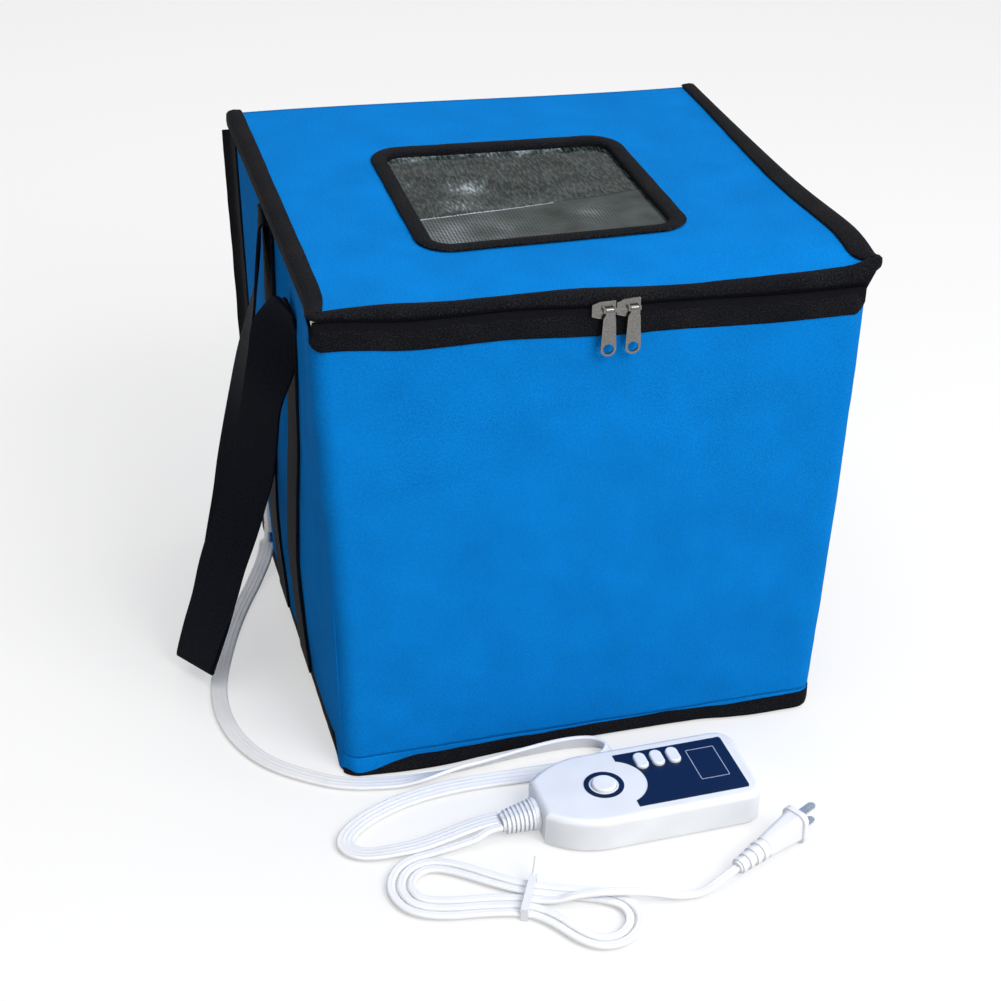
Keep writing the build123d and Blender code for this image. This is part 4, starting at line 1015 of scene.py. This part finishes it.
PLUG_AT, PLUG_TURN, PLUG_TILT = (54.5, -344.0, 8.4), 27.5, 4.0


def hank_point(p, q, z):
    angle = math.radians(HANK_TURN)
    return (HANK_CENTRE[0] + p * math.cos(angle) - q * math.sin(angle),
            HANK_CENTRE[1] + p * math.sin(angle) + q * math.cos(angle), z)


def inset_corners(corners, step):
    """Corners of a closed counter-clockwise polygon moved inwards by the same step on every side."""
    moved = []
    for index, corner in enumerate(corners):
        here = Vector(corner)
        along_in = (here - Vector(corners[index - 1])).normalized()
        along_out = (Vector(corners[(index + 1) % len(corners)]) - here).normalized()
        inward = Vector((-along_in.y - along_out.y, along_in.x + along_out.x)).normalized()
        half_turn = along_in.angle(along_out) / 2
        moved.append(here + inward * (step / math.cos(half_turn)))
    return moved


def hank_turns():
    w, t = HANK_WAIST, HANK_TIED
    ring = [(t, w), (-t, w)] + HANK_LEFT + [(-t, -w), (t, -w)] + HANK_RIGHT
    turns = []
    for loop in range(HANK_LOOPS + 1):
        inner = inset_corners(ring, loop * HANK_STEP)
        turns += inner[2:8]
        if loop < HANK_LOOPS:
            turns += inner[8:] + inner[:2]
    return turns


def mains_route():
    middle = [hank_point(p[0], p[1], MAINS_Z) for p in hank_turns()]
    start, leave = [hank_point(*HANK_START)], [hank_point(*p) for p in HANK_LEAVE]
    return MAINS_NEAR + start + middle + leave + MAINS_FAR + [plug_place(-15), plug_place(-0.3)]


def plug_frame():
    turn = Matrix.Rotation(math.radians(PLUG_TURN), 4, "Z") @ Matrix.Rotation(math.radians(-PLUG_TILT), 4, "Y")
    return Matrix.Translation(Vector(PLUG_AT)) @ turn


def plug_place(along):
    return tuple(plug_frame() @ Vector((along, 0, 0)))


def route_line(name, route):
    """Points of the smooth line that a cord follows, read from its spline."""
    curve = bpy.data.curves.new(name + "_route", "CURVE")
    curve.dimensions = "3D"
    curve.resolution_u = 10
    spline = curve.splines.new("NURBS")
    spline.points.add(len(route) - 1)
    for point, place in zip(spline.points, route):
        point.co = (*(c * MM for c in place), 1.0)
    spline.order_u = 3
    spline.use_endpoint_u = True
    holder = bpy.data.objects.new(name + "_route", curve)
    bpy.context.scene.collection.objects.link(holder)
    bpy.context.view_layer.update()
    mesh = bpy.data.meshes.new_from_object(holder.evaluated_get(bpy.context.evaluated_depsgraph_get()))
    line = [v.co.copy() / MM for v in mesh.vertices]
    bpy.data.objects.remove(holder)
    bpy.data.meshes.remove(mesh)
    return line


def line_length(line):
    return sum((b - a).length for a, b in zip(line, line[1:]))


def cored_section(cores, width, thick):
    """Outline of a flat cord with a round core in each of its lobes."""
    pitch = (width - thick) / (cores - 1)
    section = []
    steps = 5
    for core in range(cores):
        centre = -width / 2 + thick / 2 + core * pitch
        first, last = (116 if core else 180), (64 if core < cores - 1 else 0)
        for step in range(steps + 1):
            angle = math.radians(mix(first, last, step / steps))
            section.append((centre + thick / 2 * math.cos(angle), thick / 2 * math.sin(angle)))
    return section + [(-a, -b) for a, b in section]


def flat_cord(name, line, section, standing):
    """Cord of that section along a line. standing(share) is 0 where it lies flat and 1 where it is on edge."""
    total = line_length(line)
    count, around = len(line), len(section)
    runs = [0.0]
    for here, after in zip(line, line[1:]):
        runs.append(runs[-1] + (after - here).length)

    def place(step, index):
        along = (line[min(index + 1, count - 1)] - line[max(index - 1, 0)]).normalized()
        flat = along.cross(Vector((0, 0, 1)))
        flat = Vector((0, 1, 0)) if flat.length < 0.35 else flat.normalized()
        flat = (flat - along * flat.dot(along)).normalized()
        up = flat.cross(along).normalized()
        angle = standing(runs[index] / total) * math.pi / 2
        wide = flat * math.cos(angle) + up * math.sin(angle)
        thin = up * math.cos(angle) - flat * math.sin(angle)
        a, b = section[step % around]
        return line[index] + wide * a + thin * b

    piece = laid_grid(name, around, count - 1, place, lambda step, index: (step, runs[index]), joined=True)
    bpy.ops.object.mode_set(mode="EDIT")
    bpy.ops.mesh.select_all(action="SELECT")
    bpy.ops.mesh.fill_holes(sides=0)
    bpy.ops.object.mode_set(mode="OBJECT")
    return piece


def ribbon_cord():
    line = route_line("ribbon", RIBBON_ROUTE)
    standing_marks = [(0.0, 0.0), (0.44, 0.0), (0.50, 0.55), (0.60, 0.80), (0.66, 0.35), (0.74, 0.1), (1.0, 0.0)]

    def standing(share):
        for (a, low), (b, high) in zip(standing_marks, standing_marks[1:]):
            if a <= share <= b:
                return mix(low, high, ease((share - a) / (b - a)))
        return 0.0

    raised = []
    total, run = line_length(line), 0.0
    for index, place in enumerate(line):
        if index:
            run += (place - line[index - 1]).length
        stand = standing(run / total)
        base = mix(RIBBON_THICK / 2, RIBBON_WIDTH / 2, math.sin(stand * math.pi / 2)) + 0.2
        low_run = ease((run - 40) / 30) * ease((total - run - 70) / 30)
        raised.append(Vector((place.x, place.y, mix(place.z, base, low_run))))
    section = cored_section(4, RIBBON_WIDTH, RIBBON_THICK)
    piece = flat_cord("ribbon_cord_sheath", raised, section, standing)
    dress(piece, CORD_WHITE, "base", ["ribbon_cord"])
    length = line_length(raised)
    print("ribbon length", round(length, 1))


def mains_cord():
    line = route_line("mains", mains_route())
    section = cored_section(2, MAINS_WIDTH, MAINS_THICK)
    piece = flat_cord("mains_cord_sheath", line, section, lambda share: 0.0)
    dress(piece, CORD_WHITE, "base", ["mains_lead_near", "mains_hank", "mains_lead_far"])
    print("mains length", round(line_length(line), 1))


# ---- Controller, plug and small parts ----
def display_line():
    """Fine pale outline on the dark panel."""
    outline = rounded_outline(10.6, 16.6, (48.5, 3.5), 1.0, 3, 8.0)
    band = swept_band("display_outline", outline, lambda x, y, run: [(-0.7, 26.42), (0, 26.46)], True)
    turn = Matrix.Translation(Vector((16.5 * MM, -259.5 * MM, 0))) @ Matrix.Rotation(math.radians(1.5), 4, "Z")
    band.data.transform(turn)
    thicken(band, 0.05, 0.0)
    dress(band, FRAME_LINE, "base")


def carried_pieces():
    carry("controller_bottom_shell", WHITE_PLASTIC)
    carry("controller_top_shell", WHITE_PLASTIC)
    carry("control_panel", NAVY)
    carry("display_module", DISPLAY)
    carry("circuit_board", BOARD_GREEN)
    carry("board_parts", PART_BLACK)
    carry("shell_screws", SCREW_STEEL)
    for name in ("power_button", "mode_button", "minus_button", "plus_button"):
        carry(name, WHITE_BUTTON)
    for name in ("strain_relief", "plug_body", "cable_gland", "gland_nut"):
        carry(name, RUBBER_WHITE)
    carry("plug_blades", BLADE_METAL)
    carry("twist_tie", RUBBER_WHITE)
    for name in ("left_slider", "right_slider", "left_pull", "right_pull"):
        carry(name, NICKEL)
    carry("floor_board", BOARD_GREY)
    carry("heating_mat", FOIL)
    carry("heating_wire", MAT_WIRE)
    carry("temperature_sensor", PART_BLACK)
    carry("mat_lead", CORD_WHITE)


# ---- Studio ----
def studio():
    bpy.ops.mesh.primitive_plane_add(size=12, location=(0, 1.5, -0.0006))
    ground = bpy.context.active_object
    ground.name = "studio_floor"
    ground.data.materials.append(floor_material())
    world = bpy.data.worlds.new("studio") if not bpy.context.scene.world else bpy.context.scene.world
    bpy.context.scene.world = world
    world.use_nodes = True
    tree = world.node_tree
    sky = tree.nodes["Background"]
    path = add(tree, "ShaderNodeLightPath")
    seen = maths(tree, "MAXIMUM", path.outputs["Is Camera Ray"], path.outputs["Is Glossy Ray"])
    seen = maths(tree, "MAXIMUM", seen, path.outputs["Is Transmission Ray"])
    parts = add(tree, "ShaderNodeSeparateXYZ")
    tree.links.new(add(tree, "ShaderNodeTexCoord").outputs["Generated"], parts.inputs[0])
    side_light = maths(tree, "MULTIPLY", parts.outputs[0], 0.42)
    front_light = maths(tree, "MULTIPLY", parts.outputs[1], -0.18)
    soft = maths(tree, "ADD", maths(tree, "ADD", side_light, front_light), 0.55)
    strength = maths(tree, "MAXIMUM", soft, seen)
    sky.inputs["Color"].default_value = (1, 1, 1, 1)
    tree.links.new(strength, sky.inputs["Strength"])
    lamp("key", (0.8, -1.9, 1.9), 1.4, 46)
    lamp("top", (-0.2, 0.3, 2.6), 2.0, 18)


def lamp(name, place, size, power):
    data = bpy.data.lights.new(name, "AREA")
    data.size = size
    data.energy = power
    made = bpy.data.objects.new(name, data)
    made.location = place
    made.rotation_euler = (Vector((0, 0, 0.15)) - Vector(place)).to_track_quat("-Z", "Y").to_euler()
    bpy.context.scene.collection.objects.link(made)


def camera():
    turn, down, roll = (math.radians(a) for a in (CAMERA_TURN, CAMERA_DOWN, CAMERA_ROLL))
    back = Vector((math.sin(turn) * math.cos(down), -math.cos(turn) * math.cos(down), math.sin(down)))
    right = (-back).cross(Vector((0, 0, 1))).normalized()
    up = right.cross(-back)
    across = right * math.cos(roll) + up * math.sin(roll)
    upright = up * math.cos(roll) - right * math.sin(roll)
    data = bpy.data.cameras.new("photo_camera")
    data.sensor_width = 36
    data.lens = CAMERA_FOCAL
    data.clip_start = 0.01
    made = bpy.data.objects.new("photo_camera", data)
    axes = Matrix((across, upright, back)).transposed().to_4x4()
    made.matrix_world = Matrix.Translation(Vector(CAMERA_AT) * MM) @ axes
    bpy.context.scene.collection.objects.link(made)
    bpy.context.scene.camera = made


def box_walls():
    front_wall()
    front_foot()
    back_wall()
    for side, word in ((-1, "left"), (1, "right")):
        side_wall(side, f"{word}_wall_cloth")
        rear_corner(side, word)
        for end in ("rear", "front"):
            foam_half(word, end, f"{word}_{end}_panel")
            sewn_band(side, word, end)
    end_foam("front_foam", -HALF_DEPTH + 7.6, 1, "front_panel", "front_lining")
    end_foam("back_foam", HALF_DEPTH - 7.6, -1, "base", "back_lining")
    base_band()


def lid():
    lid_cloth()
    lid_foil()
    lid_binding()
    window_tape()
    window_sheet()
    upper_tape()
    lower_tape()
    zip_coil("upper_zip_coil", "lid", 0.95, -176.6)
    zip_coil("lower_zip_coil", "front_panel", -0.95, -176.3)


bpy.context.scene.view_settings.view_transform = "Standard"
camera()
studio()
ribbon_cord()
mains_cord()
carried_pieces()
box_walls()
lid()
handles()
display_line()
